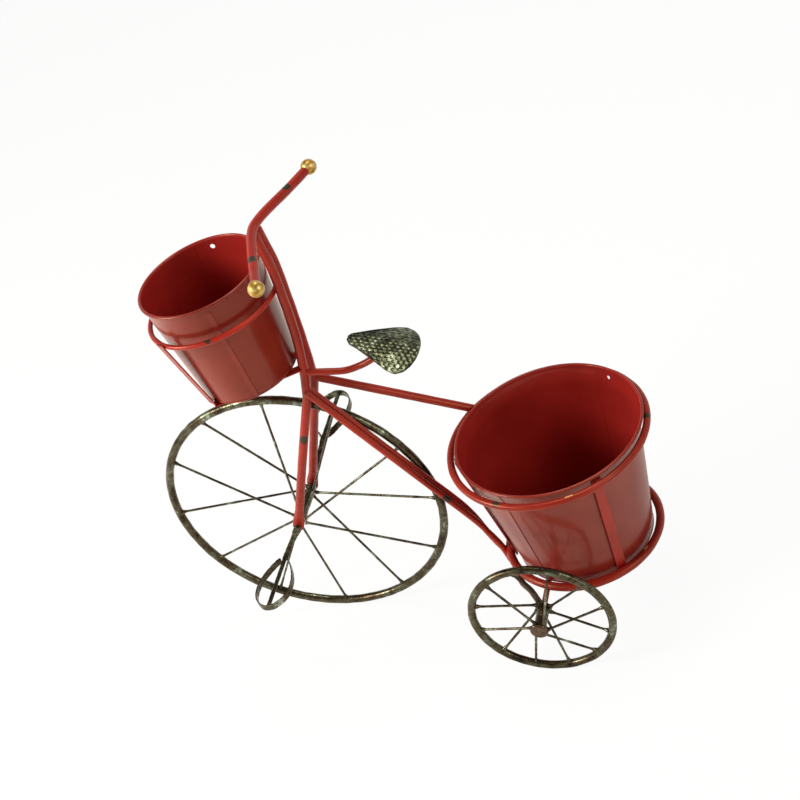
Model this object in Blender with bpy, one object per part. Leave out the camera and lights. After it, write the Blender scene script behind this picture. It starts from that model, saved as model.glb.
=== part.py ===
"""A small tricycle that carries two flower buckets, welded from tube, rod and flat strip.

Units are metres, +Z is up, the front wheel points to -X and the side seen first is -Y.
The origin is on the ground, in the middle of the planter's length and width.
"""
import math

import bmesh
import bpy
from mathutils import Matrix, Vector

for old_object in list(bpy.data.objects):
    bpy.data.objects.remove(old_object, do_unlink=True)

# Wheels
FRONT_WHEEL_RADIUS = 0.150
FRONT_RIM_ROD = 0.0092          # diameter of the round bar that the rim is rolled from
REAR_WHEEL_RADIUS = 0.0725
REAR_RIM_ROD = 0.0086
WHEELBASE = 0.2493              # front axle to rear axle, along X
REAR_TRACK = 0.2154             # between the middle planes of the two rear wheels
SPOKE_DIAMETER = 0.0028
SPOKES_A_SIDE = 6
SPOKE_SKEW = math.radians(24)   # spokes leave the hub this far round from where they aim

# Front hub, its shaft and the cranks
FRONT_BARREL_RADIUS = 0.0052
FRONT_SPOKE_PLACE = 0.0205      # where the spokes meet the hub, from the wheel's plane
SHAFT_RADIUS = 0.0030
FRONT_SPOKE_TURN = math.radians(27)
CRANK_LENGTHS = (0.0500, 0.0680)  # the near one and the far one
CRANK_TURNS = (math.radians(-127), math.radians(60))  # where they point, in the XZ plane
CRANK_THICKNESS = 0.0042
CRANK_BOSS_RADIUS = 0.0044
CRANK_EYE_RADIUS = 0.0030
CRANK_END_STEPS = 6
HUB_CLEARANCE = 0.0010          # between each end of the hub and the fork
CRANK_CLEARANCE = 0.0015        # between a flattened fork end and the crank beside it
PEDAL_PIN_RADIUS = 0.0012
PEDAL_SLEEVE_RADIUS = 0.0024
PEDAL_LENGTH = 0.0660
PEDAL_WIDTH = 0.0370
PEDAL_STRIP_WIDTH = 0.0080
PEDAL_STRIP_THICKNESS = 0.0014
PEDAL_NOSE_HALF_WIDTH = 0.0038  # where the strip's ends close on the sleeve beside the crank
PEDAL_PIN_SHARE = 0.9           # how much of the pedal's length its pin fills

# Rear hubs and the axle that they turn on
REAR_HUB_RADIUS = 0.0060
REAR_HUB_LENGTH = 0.0286
REAR_FLANGE_RADIUS = 0.0080
REAR_FLANGE_THICKNESS = 0.0026
REAR_AXLE_RADIUS = 0.0029
REAR_SPOKE_TURN = math.radians(9)
AXLE_CAP_RADIUS = 0.0090
AXLE_CAP_THICKNESS = 0.0026
AXLE_CAP_BEVEL = 0.0018
AXLE_COLLAR_RADIUS = 0.0045
AXLE_COLLAR_LENGTH = 0.0022

# Fork, stem and handlebar: one tube on each side, and a bent one across their tops
TUBE_RADIUS = 0.0046
FORK_RAKE = math.radians(23.4)
CROWN_CLEARANCE = 0.0134        # from the tyre line to the middle of the crown
FORK_HALF_WIDTH = 0.0295        # at the axle, to the middle of each leg
CROWN_HALF_WIDTH = 0.0139
STEM_HEIGHT = 0.1934            # crown to the middle of the handlebar
STEM_SETBACK = 0.0199
BAR_HALF_WIDTH = 0.0912
BAR_SWEEP = 0.0287
BAR_DROP = 0.0030
GRIP_BALL_RADIUS = 0.0078
DROPOUT_HALF_THICKNESS = 0.0019
DROPOUT_HALF_WIDTH = 0.0062
DROPOUT_REACH = 0.0065          # how far a leg runs on below the shaft
DROPOUT_ROUND_FROM = 0.0225     # how far above the shaft a leg is round again
DROPOUT_FLATTENING = 0.0180     # over what height it changes

# Backbone rods, top bar, saddle post and saddle
BACKBONE_ROD_RADIUS = 0.0033
BACKBONE_START_RISE = 0.0110    # above the crown
WHEEL_SIDE_CLEARANCE = 0.0011   # between the front rim and the backbone beside it
KNEE_AHEAD = 0.0227             # where the backbone starts to bend, ahead of the rear lower ring
KNEE_ABOVE = 0.0422
TOP_BAR_RADIUS = 0.0043
TOP_BAR_START_RISE = 0.0054
TOP_BAR_RING_TURN = math.radians(148.6)
POST_RADIUS = 0.0035
POST_START_RISE = 0.0300
POST_REACH = 0.0840
POST_CUT_HEIGHT = 0.0140        # how far above the saddle's underside the post is cut clear
SADDLE_LENGTH = 0.0643
SADDLE_HALF_WIDTH = 0.0326
SADDLE_SHEET = 0.0022
SADDLE_NOSE_LIFT = 0.0284       # how much higher the nose is than the back
SADDLE_WING_DROP = 0.0070
SADDLE_HEIGHT = 0.0284          # back of the saddle above the crown
SADDLE_PLACE = 0.0602           # nose behind the crown

# Rear bucket and its basket
REAR_POT_BEHIND_AXLE = 0.0314
REAR_POT_RIM_RADIUS = 0.0928
REAR_POT_NECK_RADIUS = 0.0868
REAR_POT_FOOT_RADIUS = 0.0682
REAR_POT_HEIGHT = 0.1440
REAR_RING_BEHIND_AXLE = 0.0289
REAR_RING_RADIUS = 0.0965
REAR_RING_ROD_RADIUS = 0.0037
REAR_LOWER_RING_BEHIND_AXLE = 0.0304
REAR_LOWER_RING_RADIUS = 0.0769
REAR_LOWER_ROD_RADIUS = 0.0043
REAR_RING_SPACING = 0.1300
REAR_STRIP_WIDTH = 0.0100
REAR_STRIP_THICKNESS = 0.0018
REAR_STRIP_TURNS = (math.radians(-51), math.radians(-169), math.radians(70))
REAR_POT_HOLE_TURN = math.radians(56)
REAR_POT_SEAM_TURNS = (math.radians(-114), math.radians(66))

# Front bucket and its basket
FRONT_POT_RIM_RADIUS = 0.0621
FRONT_POT_NECK_RADIUS = 0.0596
FRONT_POT_FOOT_RADIUS = 0.0484
FRONT_POT_HEIGHT = 0.1182
FRONT_POT_TILT = math.radians(2.5)
FRONT_RING_RADIUS = 0.0650
FRONT_RING_ROD_RADIUS = 0.0026
FRONT_RING_DROP = 0.0330        # from the rim of the bucket to the ring
FRONT_RING_HEIGHT = 0.1200      # ring above the crown
FRONT_STRAP_WIDTH = 0.0100
FRONT_STRAP_THICKNESS = 0.0015
FRONT_STRAP_TURN = math.radians(122)
FRONT_STRAP_TOP = 0.0030        # how far a strap runs on above the middle of the ring
FRONT_STRAP_BEND = 0.0028       # how far from the corner a strap starts to bend
FRONT_STRAP_STANDOFF = 0.0025   # between the bucket's foot and the strap beside it
FRONT_POT_HOLE_TURN = math.radians(98)
FRONT_POT_SEAM_TURNS = (math.radians(-63), math.radians(115))

# Both buckets
POT_WALL = 0.0010
POT_FLOOR = 0.0012
POT_BEAD_RADIUS = 0.0016        # of the rim, rolled round a wire
POT_LIP_HEIGHT = 0.0100         # from the rim down to where the wall starts to flare
POT_LAP_WIDTH = 0.0060          # how far the sheet's ends overlap at a seam
POT_LAP_RISE = 0.0008
POT_LAP_STEP = 0.0005           # how wide the step at each side of a seam is
POT_HOLE_RADIUS = 0.0020
POT_HOLE_DROP = 0.0090

# Clearances
TOUCH_GAP = 0.0003              # between pieces that are welded or rest on each other
RUNNING_GAP = 0.0004            # between a shaft and what it turns in
CUT_OVERRUN = 0.0020            # how far a cutter runs past what it cuts

# Where the main points lie
REAR_END = WHEELBASE + REAR_RING_BEHIND_AXLE + REAR_RING_RADIUS + REAR_RING_ROD_RADIUS
FRONT_AXLE = Vector(((FRONT_WHEEL_RADIUS - REAR_END) / 2, 0, FRONT_WHEEL_RADIUS))
REAR_AXLE = Vector((FRONT_AXLE.x + WHEELBASE, 0, REAR_WHEEL_RADIUS))
CROWN = FRONT_AXLE + (FRONT_WHEEL_RADIUS + CROWN_CLEARANCE) * Vector(
    (math.sin(FORK_RAKE), 0, math.cos(FORK_RAKE)))
STEM_TOP = CROWN + Vector((STEM_SETBACK, 0, STEM_HEIGHT))
REAR_POT_X = REAR_AXLE.x + REAR_POT_BEHIND_AXLE
UPPER_RING_X = REAR_AXLE.x + REAR_RING_BEHIND_AXLE
LOWER_RING_X = REAR_AXLE.x + REAR_LOWER_RING_BEHIND_AXLE
REAR_POT_FOOT = REAR_AXLE.z + REAR_AXLE_RADIUS + TOUCH_GAP
LOWER_RING_Z = REAR_POT_FOOT + REAR_LOWER_ROD_RADIUS
UPPER_RING_Z = LOWER_RING_Z + REAR_RING_SPACING
REAR_HUB_INNER = (REAR_TRACK - REAR_HUB_LENGTH) / 2
REAR_HUB_OUTER = (REAR_TRACK + REAR_HUB_LENGTH) / 2

# How finely round pieces are divided
ROD_SIDES = 8
TUBE_SIDES = 10
RING_SEGMENTS = 48
SMALL_RING_SEGMENTS = 40
TURNED_SEGMENTS = 16
SPOKE_SIDES = 6

# Finishes
ENAMEL_RED = ("red enamel on steel", (0.30, 0.035, 0.022), 0.35, 0.0)
PEWTER = ("antiqued pewter paint on steel", (0.10, 0.095, 0.07), 0.45, 0.7)
BRASS = ("brushed brass", (0.66, 0.44, 0.13), 0.35, 1.0)


def material_for(finish):
    """Return the Principled material of a finish, made the first time it is asked for."""
    label, colour, roughness, metallic = finish
    material = bpy.data.materials.get(label)
    if material is None:
        material = bpy.data.materials.new(label)
        material.use_nodes = True
        shader = material.node_tree.nodes["Principled BSDF"]
        shader.inputs["Base Color"].default_value = (*colour, 1.0)
        shader.inputs["Roughness"].default_value = roughness
        shader.inputs["Metallic"].default_value = metallic
    return material


def add_piece(name, mesh_data, finish, parent=None):
    """Turn a bmesh into a named object with closed, outward faces and smooth shading."""
    bmesh.ops.recalc_face_normals(mesh_data, faces=mesh_data.faces)
    mesh = bpy.data.meshes.new(name)
    mesh_data.to_mesh(mesh)
    mesh_data.free()
    mesh.shade_smooth()
    mesh.set_sharp_from_angle(angle=math.radians(40))
    piece = bpy.data.objects.new(name, mesh)
    bpy.context.scene.collection.objects.link(piece)
    piece.data.materials.append(material_for(finish))
    if parent is not None:
        piece.parent = parent
    return piece


def joint_empty(name, place):
    """An empty on a joint's axis, which carries the pieces that move with it."""
    empty = bpy.data.objects.new(name, None)
    empty.location = place
    bpy.context.scene.collection.objects.link(empty)
    return empty


def combine(piece, other, operation):
    """Join or cut a piece with another and apply it, so that the other can be removed."""
    boolean = piece.modifiers.new(operation, "BOOLEAN")
    boolean.operation = operation
    boolean.object = other
    bpy.context.view_layer.update()
    evaluated = piece.evaluated_get(bpy.context.evaluated_depsgraph_get())
    mesh = bpy.data.meshes.new_from_object(evaluated)
    piece.modifiers.clear()
    piece.data = mesh
    bpy.data.objects.remove(other, do_unlink=True)
    piece.data.shade_smooth()
    piece.data.set_sharp_from_angle(angle=math.radians(40))


def smooth_path(points, steps):
    """Points of a Catmull-Rom curve through the given points, with steps spans between each two."""
    points = [Vector(point) for point in points]
    ends = [2 * points[0] - points[1], *points, 2 * points[-1] - points[-2]]
    path = []
    for before, start, stop, after in zip(ends, ends[1:], ends[2:], ends[3:]):
        for step in range(steps):
            t = step / steps
            path.append((2 * start + (stop - before) * t
                         + (2 * before - 5 * start + 4 * stop - after) * t ** 2
                         + (3 * start - before - 3 * stop + after) * t ** 3) / 2)
    path.append(points[-1])
    return path


def swept_mesh(path, section, first_side, last_side=None):
    """Skin a closed solid along a path.

    section(i) gives the outline at point i as pairs (along side, along up). The side direction
    starts as first_side and is carried along the path without twisting, or, where last_side is
    given, turns to it between the second point and the last but one.
    """
    mesh_data = bmesh.new()
    loops = []
    side = Vector(first_side)
    for i, point in enumerate(path):
        if last_side is not None:
            turned = min(max((i - 1) / (len(path) - 3), 0), 1)
            side = Vector(first_side).lerp(last_side, turned)
        ahead = path[min(i + 1, len(path) - 1)]
        behind = path[max(i - 1, 0)]
        along = (ahead - behind).normalized()
        side = (side - side.dot(along) * along).normalized()
        up = along.cross(side)
        loops.append([mesh_data.verts.new(point + a * side + b * up) for a, b in section(i)])
    count = len(loops[0])
    for first, second in zip(loops, loops[1:]):
        for k in range(count):
            n = (k + 1) % count
            mesh_data.faces.new((first[k], first[n], second[n], second[k]))
    mesh_data.faces.new(loops[0])
    mesh_data.faces.new(reversed(loops[-1]))
    return mesh_data


def round_section(half_width, half_depth, sides):
    """An ellipse with the given half sizes, as section points."""
    angles = [2 * math.pi * (k + 0.5) / sides for k in range(sides)]
    return [(half_width * math.cos(angle), half_depth * math.sin(angle)) for angle in angles]


def tube(name, points, radius, finish, steps=2, sides=ROD_SIDES, parent=None):
    """A round bar or a tube with plain ends, bent through the given points."""
    path = smooth_path(points, steps)
    outline = round_section(radius, radius, sides)
    mesh_data = swept_mesh(path, lambda i: outline, (0, 1, 0.1))
    return add_piece(name, mesh_data, finish, parent)


def straight_rod_mesh(start, stop, radius, sides):
    """A straight round rod between two points."""
    outline = round_section(radius, radius, sides)
    along = (stop - start).normalized()
    return swept_mesh([start, stop], lambda i: outline, along.orthogonal())


def turned_mesh(profile, segments, axis):
    """Spin a profile of (radius, height along the axis) once round the axis.

    A profile that starts and ends on the axis gives a solid, a closed one gives a ring or a shell.
    """
    mesh_data = bmesh.new()
    turn_to_axis = Vector((0, 0, 1)).rotation_difference(Vector(axis)).to_matrix()
    corners = [mesh_data.verts.new(turn_to_axis @ Vector((r, 0, h))) for r, h in profile]
    edges = [mesh_data.edges.new(pair) for pair in zip(corners, corners[1:])]
    if profile[0][0] > 0:
        edges.append(mesh_data.edges.new((corners[-1], corners[0])))
    bmesh.ops.spin(mesh_data, geom=corners + edges, cent=(0, 0, 0), axis=axis,
                   angle=2 * math.pi, steps=segments, use_merge=True)
    bmesh.ops.remove_doubles(mesh_data, verts=mesh_data.verts, dist=0.00001)
    return mesh_data


def ring_profile(ring_radius, rod_radius, sides):
    """The round section of a ring, as a closed profile with a point at its outermost place."""
    angles = [2 * math.pi * k / sides for k in range(sides)]
    return [(ring_radius + rod_radius * math.cos(angle), rod_radius * math.sin(angle))
            for angle in angles]


def cylinder_cutter(name, centre, axis, radius, length, sides=TURNED_SEGMENTS):
    """A plain cylinder used only to cut a hole."""
    half = Vector(axis).normalized() * length / 2
    cutter = add_piece(name, straight_rod_mesh(centre - half, centre + half, radius, sides), PEWTER)
    cutter.hide_render = True
    cutter.display_type = "WIRE"
    return cutter


# Fork legs, stem and handlebar: each side is one tube, flattened and bored at the axle, drawn
# together at the crown and coped at the top under one bent tube with a brass ball at each end.
# Rows of shares: along the part, and the share of the change that has happened there.
LEG_SPREAD_SHARES = ((0.0, 1.0), (0.1, 0.90), (0.2, 0.85), (0.4, 0.73), (0.6, 0.56), (0.8, 0.32),
                     (0.9, 0.16))
STEM_SHARES = ((0.0, 0.0, 1.0), (0.054, 0.155, 0.87), (0.154, 0.376, 0.51), (0.308, 0.641, 0.17),
               (0.452, 0.818, 0.03), (0.633, 0.984, 0.0), (0.778, 1.083, 0.0), (0.885, 1.045, 0.0),
               (0.985, 1.005, 0.0))
BAR_SHARES = ((0.0, 0.0, 0.0), (0.11, 0.042, 0.03), (0.241, 0.153, 0.17), (0.395, 0.307, 0.47),
              (0.57, 0.495, 0.87), (0.768, 0.721, 1.1))
STEM_HALF_GAP = TUBE_RADIUS + TOUCH_GAP / 2


def stem_point(row, side):
    """A point of the stem from its row of shares, on the side given by -1 or 1."""
    up_share, back_share, spread_share = row
    half_width = STEM_HALF_GAP + spread_share * (CROWN_HALF_WIDTH - STEM_HALF_GAP)
    return Vector((CROWN.x + back_share * STEM_SETBACK, side * half_width,
                   CROWN.z + up_share * STEM_HEIGHT))


def leg_place(height, side):
    """Middle of a fork tube at a height above the crown, found on the stem's smooth curve."""
    path = smooth_path([stem_point(row, side) for row in STEM_SHARES], 4)
    for low, high in zip(path, path[1:]):
        if low.z <= CROWN.z + height <= high.z:
            share = (CROWN.z + height - low.z) / (high.z - low.z)
            return low.lerp(high, share)
    return path[0]


def fork_tube_points(side):
    """The points that one fork and stem tube is bent through, from the axle to the handlebar."""
    leg = CROWN - FRONT_AXLE
    below = -DROPOUT_REACH / leg.length
    points = [FRONT_AXLE + below * leg + Vector((0, side * FORK_HALF_WIDTH, 0))]
    for up_share, spread_share in LEG_SPREAD_SHARES:
        half_width = CROWN_HALF_WIDTH + spread_share * (FORK_HALF_WIDTH - CROWN_HALF_WIDTH)
        points.append(FRONT_AXLE + up_share * leg + Vector((0, side * half_width, 0)))
    for row in STEM_SHARES:
        points.append(stem_point(row, side))
    return points


def half_bar_points(side):
    """Half of the handlebar, from its middle on the stem's top to the ball on one side."""
    points = []
    for out_share, back_share, drop_share in BAR_SHARES:
        points.append(STEM_TOP + Vector((back_share * BAR_SWEEP, side * out_share * BAR_HALF_WIDTH,
                                         -drop_share * BAR_DROP)))
    ball = ball_place(side)
    towards = (points[-1] - ball).normalized()
    points.append(ball + towards * (GRIP_BALL_RADIUS + TOUCH_GAP))
    return points


def bar_points():
    """The handlebar's points from the near end to the far one."""
    return list(reversed(half_bar_points(-1))) + half_bar_points(1)[1:]


def ball_place(side):
    """Middle of the brass ball on one end of the handlebar."""
    return STEM_TOP + Vector((BAR_SWEEP, side * BAR_HALF_WIDTH, -BAR_DROP))


def add_fork_tube(name, side):
    """One fork tube with its flattened, bored end, coped at the top to carry the handlebar."""
    path = smooth_path(fork_tube_points(side), 2)
    round_from = FRONT_AXLE.z + DROPOUT_ROUND_FROM

    def section(i):
        flat = min(max((round_from - path[i].z) / DROPOUT_FLATTENING, 0), 1)
        half_width = TUBE_RADIUS + flat * (DROPOUT_HALF_WIDTH - TUBE_RADIUS)
        half_depth = TUBE_RADIUS + flat * (DROPOUT_HALF_THICKNESS - TUBE_RADIUS)
        return round_section(half_width, half_depth, TUBE_SIDES)

    fork = add_piece(name, swept_mesh(path, section, (1, 0, 0)), ENAMEL_RED)
    bore = cylinder_cutter("shaft_bore_cutter", FRONT_AXLE + Vector((0, side * FORK_HALF_WIDTH, 0)),
                           (0, 1, 0), SHAFT_RADIUS + RUNNING_GAP,
                           2 * (DROPOUT_HALF_THICKNESS + CUT_OVERRUN))
    combine(fork, bore, "DIFFERENCE")
    outline = round_section(TUBE_RADIUS + TOUCH_GAP, TUBE_RADIUS + TOUCH_GAP, TUBE_SIDES)
    cope(fork, swept_mesh(smooth_path(bar_points(), 2), lambda i: outline, (0, 0, 1)))


def cope(piece, cutter_data, place=(0, 0, 0)):
    """Hollow a bar's end to sit against a round piece, given as a slightly fatter copy of it."""
    cutter = add_piece("cope_cutter", cutter_data, ENAMEL_RED)
    cutter.location = place
    cutter.hide_render = True
    cutter.display_type = "WIRE"
    combine(piece, cutter, "DIFFERENCE")


def fat_fork_tube(side):
    """A fork tube that is one touching gap fatter, to cope other bars with."""
    outline = round_section(TUBE_RADIUS + TOUCH_GAP, TUBE_RADIUS + TOUCH_GAP, TUBE_SIDES)
    return swept_mesh(smooth_path(fork_tube_points(side), 2), lambda i: outline, (1, 0, 0))


SIDES = (("near", -1), ("far", 1))
for side_name, side in SIDES:
    add_fork_tube("fork_tube_" + side_name, side)
    ball_data = bmesh.new()
    bmesh.ops.create_uvsphere(ball_data, u_segments=TURNED_SEGMENTS, v_segments=TUBE_SIDES,
                              radius=GRIP_BALL_RADIUS)
    ball = add_piece("handlebar_ball_" + side_name, ball_data, BRASS)
    ball.location = ball_place(side)
bar_outline = round_section(TUBE_RADIUS, TUBE_RADIUS, TUBE_SIDES)
add_piece("handlebar", swept_mesh(smooth_path(bar_points(), 2), lambda i: bar_outline, (0, 0, 1)),
          ENAMEL_RED)


# Backbone: two rods side by side that pass the front wheel on its near side, bend down in
# front of the rear basket and part under its lower ring to reach the two ends of the axle.
# Rows of shares: behind the ring's front, out of the middle, above the level under the ring.
NEAR_BEND_SHARES = ((-0.30, 0.264, 0.631), (-0.145, 0.305, 0.32), (-0.09, 0.335, 0.14),
                    (-0.02, 0.37, 0.02), (0.10, 0.43, 0.0))
FAR_BEND_SHARES = ((-0.497, -0.104, 0.816), (-0.335, -0.039, 0.367), (-0.163, 0.091, 0.038),
                   (0.019, 0.26, 0.0))
FAR_STRAIGHT_SHARE = 0.925      # how much of the near rod's straight run the far rod shares
REAR_FORK_SHARES = ((0.26, 0.467), (0.41, 0.624), (0.64, 0.75), (0.873, 0.918))
LOWER_RING_FRONT = LOWER_RING_X - REAR_LOWER_RING_RADIUS
UNDER_RING_Z = LOWER_RING_Z - REAR_LOWER_ROD_RADIUS - TOUCH_GAP - BACKBONE_ROD_RADIUS
INNER_ROD_Y = -(FRONT_RIM_ROD / 2 + WHEEL_SIDE_CLEARANCE + BACKBONE_ROD_RADIUS)
OUTER_ROD_Y = INNER_ROD_Y - 2 * BACKBONE_ROD_RADIUS - TOUCH_GAP


def backbone_points(start_y, side, straight_share, bend_shares):
    """The points of one backbone rod, which ends at the axle on the given side."""
    start_tube = leg_place(BACKBONE_START_RISE, -1)
    start = Vector((start_tube.x + TUBE_RADIUS / 2, start_y, start_tube.z))
    knee = Vector((LOWER_RING_FRONT - KNEE_AHEAD, start_y, LOWER_RING_Z + KNEE_ABOVE))
    points = [start.lerp(knee, straight_share * third / 3) for third in range(4)]
    run = REAR_AXLE.x - LOWER_RING_FRONT
    for along_share, out_share, height_share in bend_shares:
        points.append(Vector((LOWER_RING_FRONT + along_share * run,
                              side * out_share * REAR_LOWER_RING_RADIUS,
                              UNDER_RING_Z + height_share * (knee.z - UNDER_RING_Z))))
    for along_share, out_share in REAR_FORK_SHARES:
        points.append(Vector((LOWER_RING_FRONT + along_share * run,
                              side * out_share * REAR_HUB_INNER, UNDER_RING_Z)))
    return points


for name, place in (("backbone_rod_near", (OUTER_ROD_Y, -1, 1, NEAR_BEND_SHARES)),
                    ("backbone_rod_far", (INNER_ROD_Y, 1, FAR_STRAIGHT_SHARE, FAR_BEND_SHARES))):
    rod = tube(name, backbone_points(*place), BACKBONE_ROD_RADIUS, ENAMEL_RED)
    cope(rod, fat_fork_tube(-1))

# Top bar: a straight tube from the far fork tube down to the rear basket's upper ring.
bar_tube = leg_place(TOP_BAR_START_RISE, 1)
bar_start = Vector((bar_tube.x + TUBE_RADIUS / 2, bar_tube.y, bar_tube.z))
bar_stop = Vector((UPPER_RING_X + REAR_RING_RADIUS * math.cos(TOP_BAR_RING_TURN),
                   REAR_RING_RADIUS * math.sin(TOP_BAR_RING_TURN), UPPER_RING_Z))
bar_along = (bar_stop - bar_start).normalized()
bar_stop -= bar_along * REAR_RING_ROD_RADIUS
top_bar = tube("top_bar", [bar_start, bar_start.lerp(bar_stop, 0.5), bar_stop], TOP_BAR_RADIUS,
               ENAMEL_RED, sides=TUBE_SIDES)
cope(top_bar, fat_fork_tube(1))
fat_ring = ring_profile(REAR_RING_RADIUS, REAR_RING_ROD_RADIUS + TOUCH_GAP, ROD_SIDES)
cope(top_bar, turned_mesh(fat_ring, RING_SEGMENTS, (0, 0, 1)), (UPPER_RING_X, 0, UPPER_RING_Z))

# Saddle post: a rod welded to the near tube, which runs back and curls up under the saddle.
POST_SHARES = ((0.21, 0.80, -0.042), (0.42, 0.32, -0.105), (0.61, 0.04, -0.085), (0.755, 0.0, -0.03),
               (0.89, 0.0, 0.042))


# Saddle: one hammered sheet, narrow at the nose, flared and drooping at the back.
# Rows of shares: along the length, half width, height of the middle line.
SADDLE_SHARES = ((0.0, 0.08, 1.0), (0.04, 0.22, 0.96), (0.15, 0.335, 0.86), (0.30, 0.535, 0.70),
                 (0.45, 0.73, 0.546), (0.60, 0.93, 0.416), (0.72, 1.0, 0.31), (0.84, 0.87, 0.18),
                 (0.93, 0.63, 0.08), (0.98, 0.375, 0.02), (1.0, 0.13, 0.0))
WING_FRONT_SHARE = 0.35         # how much of the wings' droop the nose has
SADDLE_COLUMNS = 8


def saddle_height(along_share, across_share, middle_share):
    """Height of the saddle's top above its back: the nose lifts, and the wings droop."""
    front = WING_FRONT_SHARE + (1 - WING_FRONT_SHARE) * along_share
    droop = SADDLE_WING_DROP * across_share ** 2 * front
    return middle_share * SADDLE_NOSE_LIFT - droop


def saddle_mesh(nose, top_drop, under_drop):
    """A closed shell whose top and underside lie so far below the saddle's upper surface."""
    mesh_data = bmesh.new()
    layers = []
    for drop in (top_drop, under_drop):
        rows = []
        for along_share, half_share, middle_share in SADDLE_SHARES:
            row = []
            for column in range(SADDLE_COLUMNS + 1):
                across_share = 2 * column / SADDLE_COLUMNS - 1
                height = saddle_height(along_share, across_share * half_share, middle_share)
                row.append(mesh_data.verts.new((nose.x + along_share * SADDLE_LENGTH,
                                                across_share * half_share * SADDLE_HALF_WIDTH,
                                                nose.z + height - drop)))
            rows.append(row)
        layers.append(rows)
    for rows in layers:
        for row, after in zip(rows, rows[1:]):
            for k in range(SADDLE_COLUMNS):
                mesh_data.faces.new((row[k], row[k + 1], after[k + 1], after[k]))
    top, under = layers
    border_top = edge_loop(top)
    border_under = edge_loop(under)
    for k in range(len(border_top)):
        n = (k + 1) % len(border_top)
        mesh_data.faces.new((border_top[k], border_top[n], border_under[n], border_under[k]))
    return mesh_data


def edge_loop(rows):
    """The border of a grid of vertices, in order."""
    right = [row[-1] for row in rows[1:-1]]
    left = [row[0] for row in reversed(rows[1:-1])]
    return rows[0] + right + list(reversed(rows[-1])) + left


saddle_nose = CROWN + Vector((SADDLE_PLACE, 0, SADDLE_HEIGHT))
add_piece("saddle", saddle_mesh(saddle_nose, 0, SADDLE_SHEET), PEWTER)

post_tube = leg_place(POST_START_RISE, -1)
post_start = Vector((post_tube.x + TUBE_RADIUS / 2, post_tube.y, post_tube.z))
seat_share = (post_start.x + POST_REACH - saddle_nose.x) / SADDLE_LENGTH
seat_middle = next(low[2] + (seat_share - low[0]) / (high[0] - low[0]) * (high[2] - low[2])
                   for low, high in zip(SADDLE_SHARES, SADDLE_SHARES[1:])
                   if low[0] <= seat_share <= high[0])
post_stop = Vector((post_start.x + POST_REACH, 0, saddle_nose.z - SADDLE_SHEET + POST_RADIUS
                    + saddle_height(seat_share, 0, seat_middle)))
post_points = [post_start]
for along_share, side_share, sag_share in POST_SHARES:
    post_points.append(Vector((post_start.x + along_share * POST_REACH, side_share * post_start.y,
                               post_start.z + sag_share * POST_REACH)))
post_points.append(post_stop)
saddle_post = tube("saddle_post", post_points, POST_RADIUS, ENAMEL_RED, steps=3)
cope(saddle_post, fat_fork_tube(-1))
cope(saddle_post, saddle_mesh(saddle_nose, -POST_CUT_HEIGHT, SADDLE_SHEET + TOUCH_GAP))


# Rear basket: an upper ring, a lower ring that rests on the axle and three flat strips inside.
def add_ring(name, ring_radius, rod_radius, place, segments, finish, tilt=0.0, axis=(0, 0, 1),
             parent=None):
    """A closed ring of round rod."""
    data = turned_mesh(ring_profile(ring_radius, rod_radius, ROD_SIDES), segments, axis)
    ring = add_piece(name, data, finish, parent)
    ring.location = place
    ring.rotation_euler = (0, -tilt, 0)
    return ring


add_ring("rear_basket_upper_ring", REAR_RING_RADIUS, REAR_RING_ROD_RADIUS,
         (UPPER_RING_X, 0, UPPER_RING_Z), RING_SEGMENTS, ENAMEL_RED)
add_ring("rear_basket_lower_ring", REAR_LOWER_RING_RADIUS, REAR_LOWER_ROD_RADIUS,
         (LOWER_RING_X, 0, LOWER_RING_Z), RING_SEGMENTS, ENAMEL_RED)


def strip_place(ring_radius, rod_radius):
    """How far out the middle of a flat strip sits where its edges touch a ring from inside."""
    inside = ring_radius - rod_radius - 2 * TOUCH_GAP
    return math.sqrt(inside ** 2 - (REAR_STRIP_WIDTH / 2) ** 2) - REAR_STRIP_THICKNESS / 2


strip_top = strip_place(REAR_RING_RADIUS, REAR_RING_ROD_RADIUS)
strip_foot = strip_place(REAR_LOWER_RING_RADIUS, REAR_LOWER_ROD_RADIUS)
for number, turn in enumerate(REAR_STRIP_TURNS, start=1):
    outward = Vector((math.cos(turn), math.sin(turn), 0))
    sideways = Vector((-math.sin(turn), math.cos(turn), 0))
    strip_path = [Vector((LOWER_RING_X, 0, LOWER_RING_Z)) + outward * strip_foot,
                  Vector((UPPER_RING_X, 0, UPPER_RING_Z)) + outward * strip_top]
    half_width = REAR_STRIP_WIDTH / 2
    half_thickness = REAR_STRIP_THICKNESS / 2
    outline = [(-half_width, -half_thickness), (half_width, -half_thickness),
               (half_width, half_thickness), (-half_width, half_thickness)]
    add_piece(f"rear_basket_strip_{number}",
              swept_mesh(strip_path, lambda i: outline, sideways), ENAMEL_RED)


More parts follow.
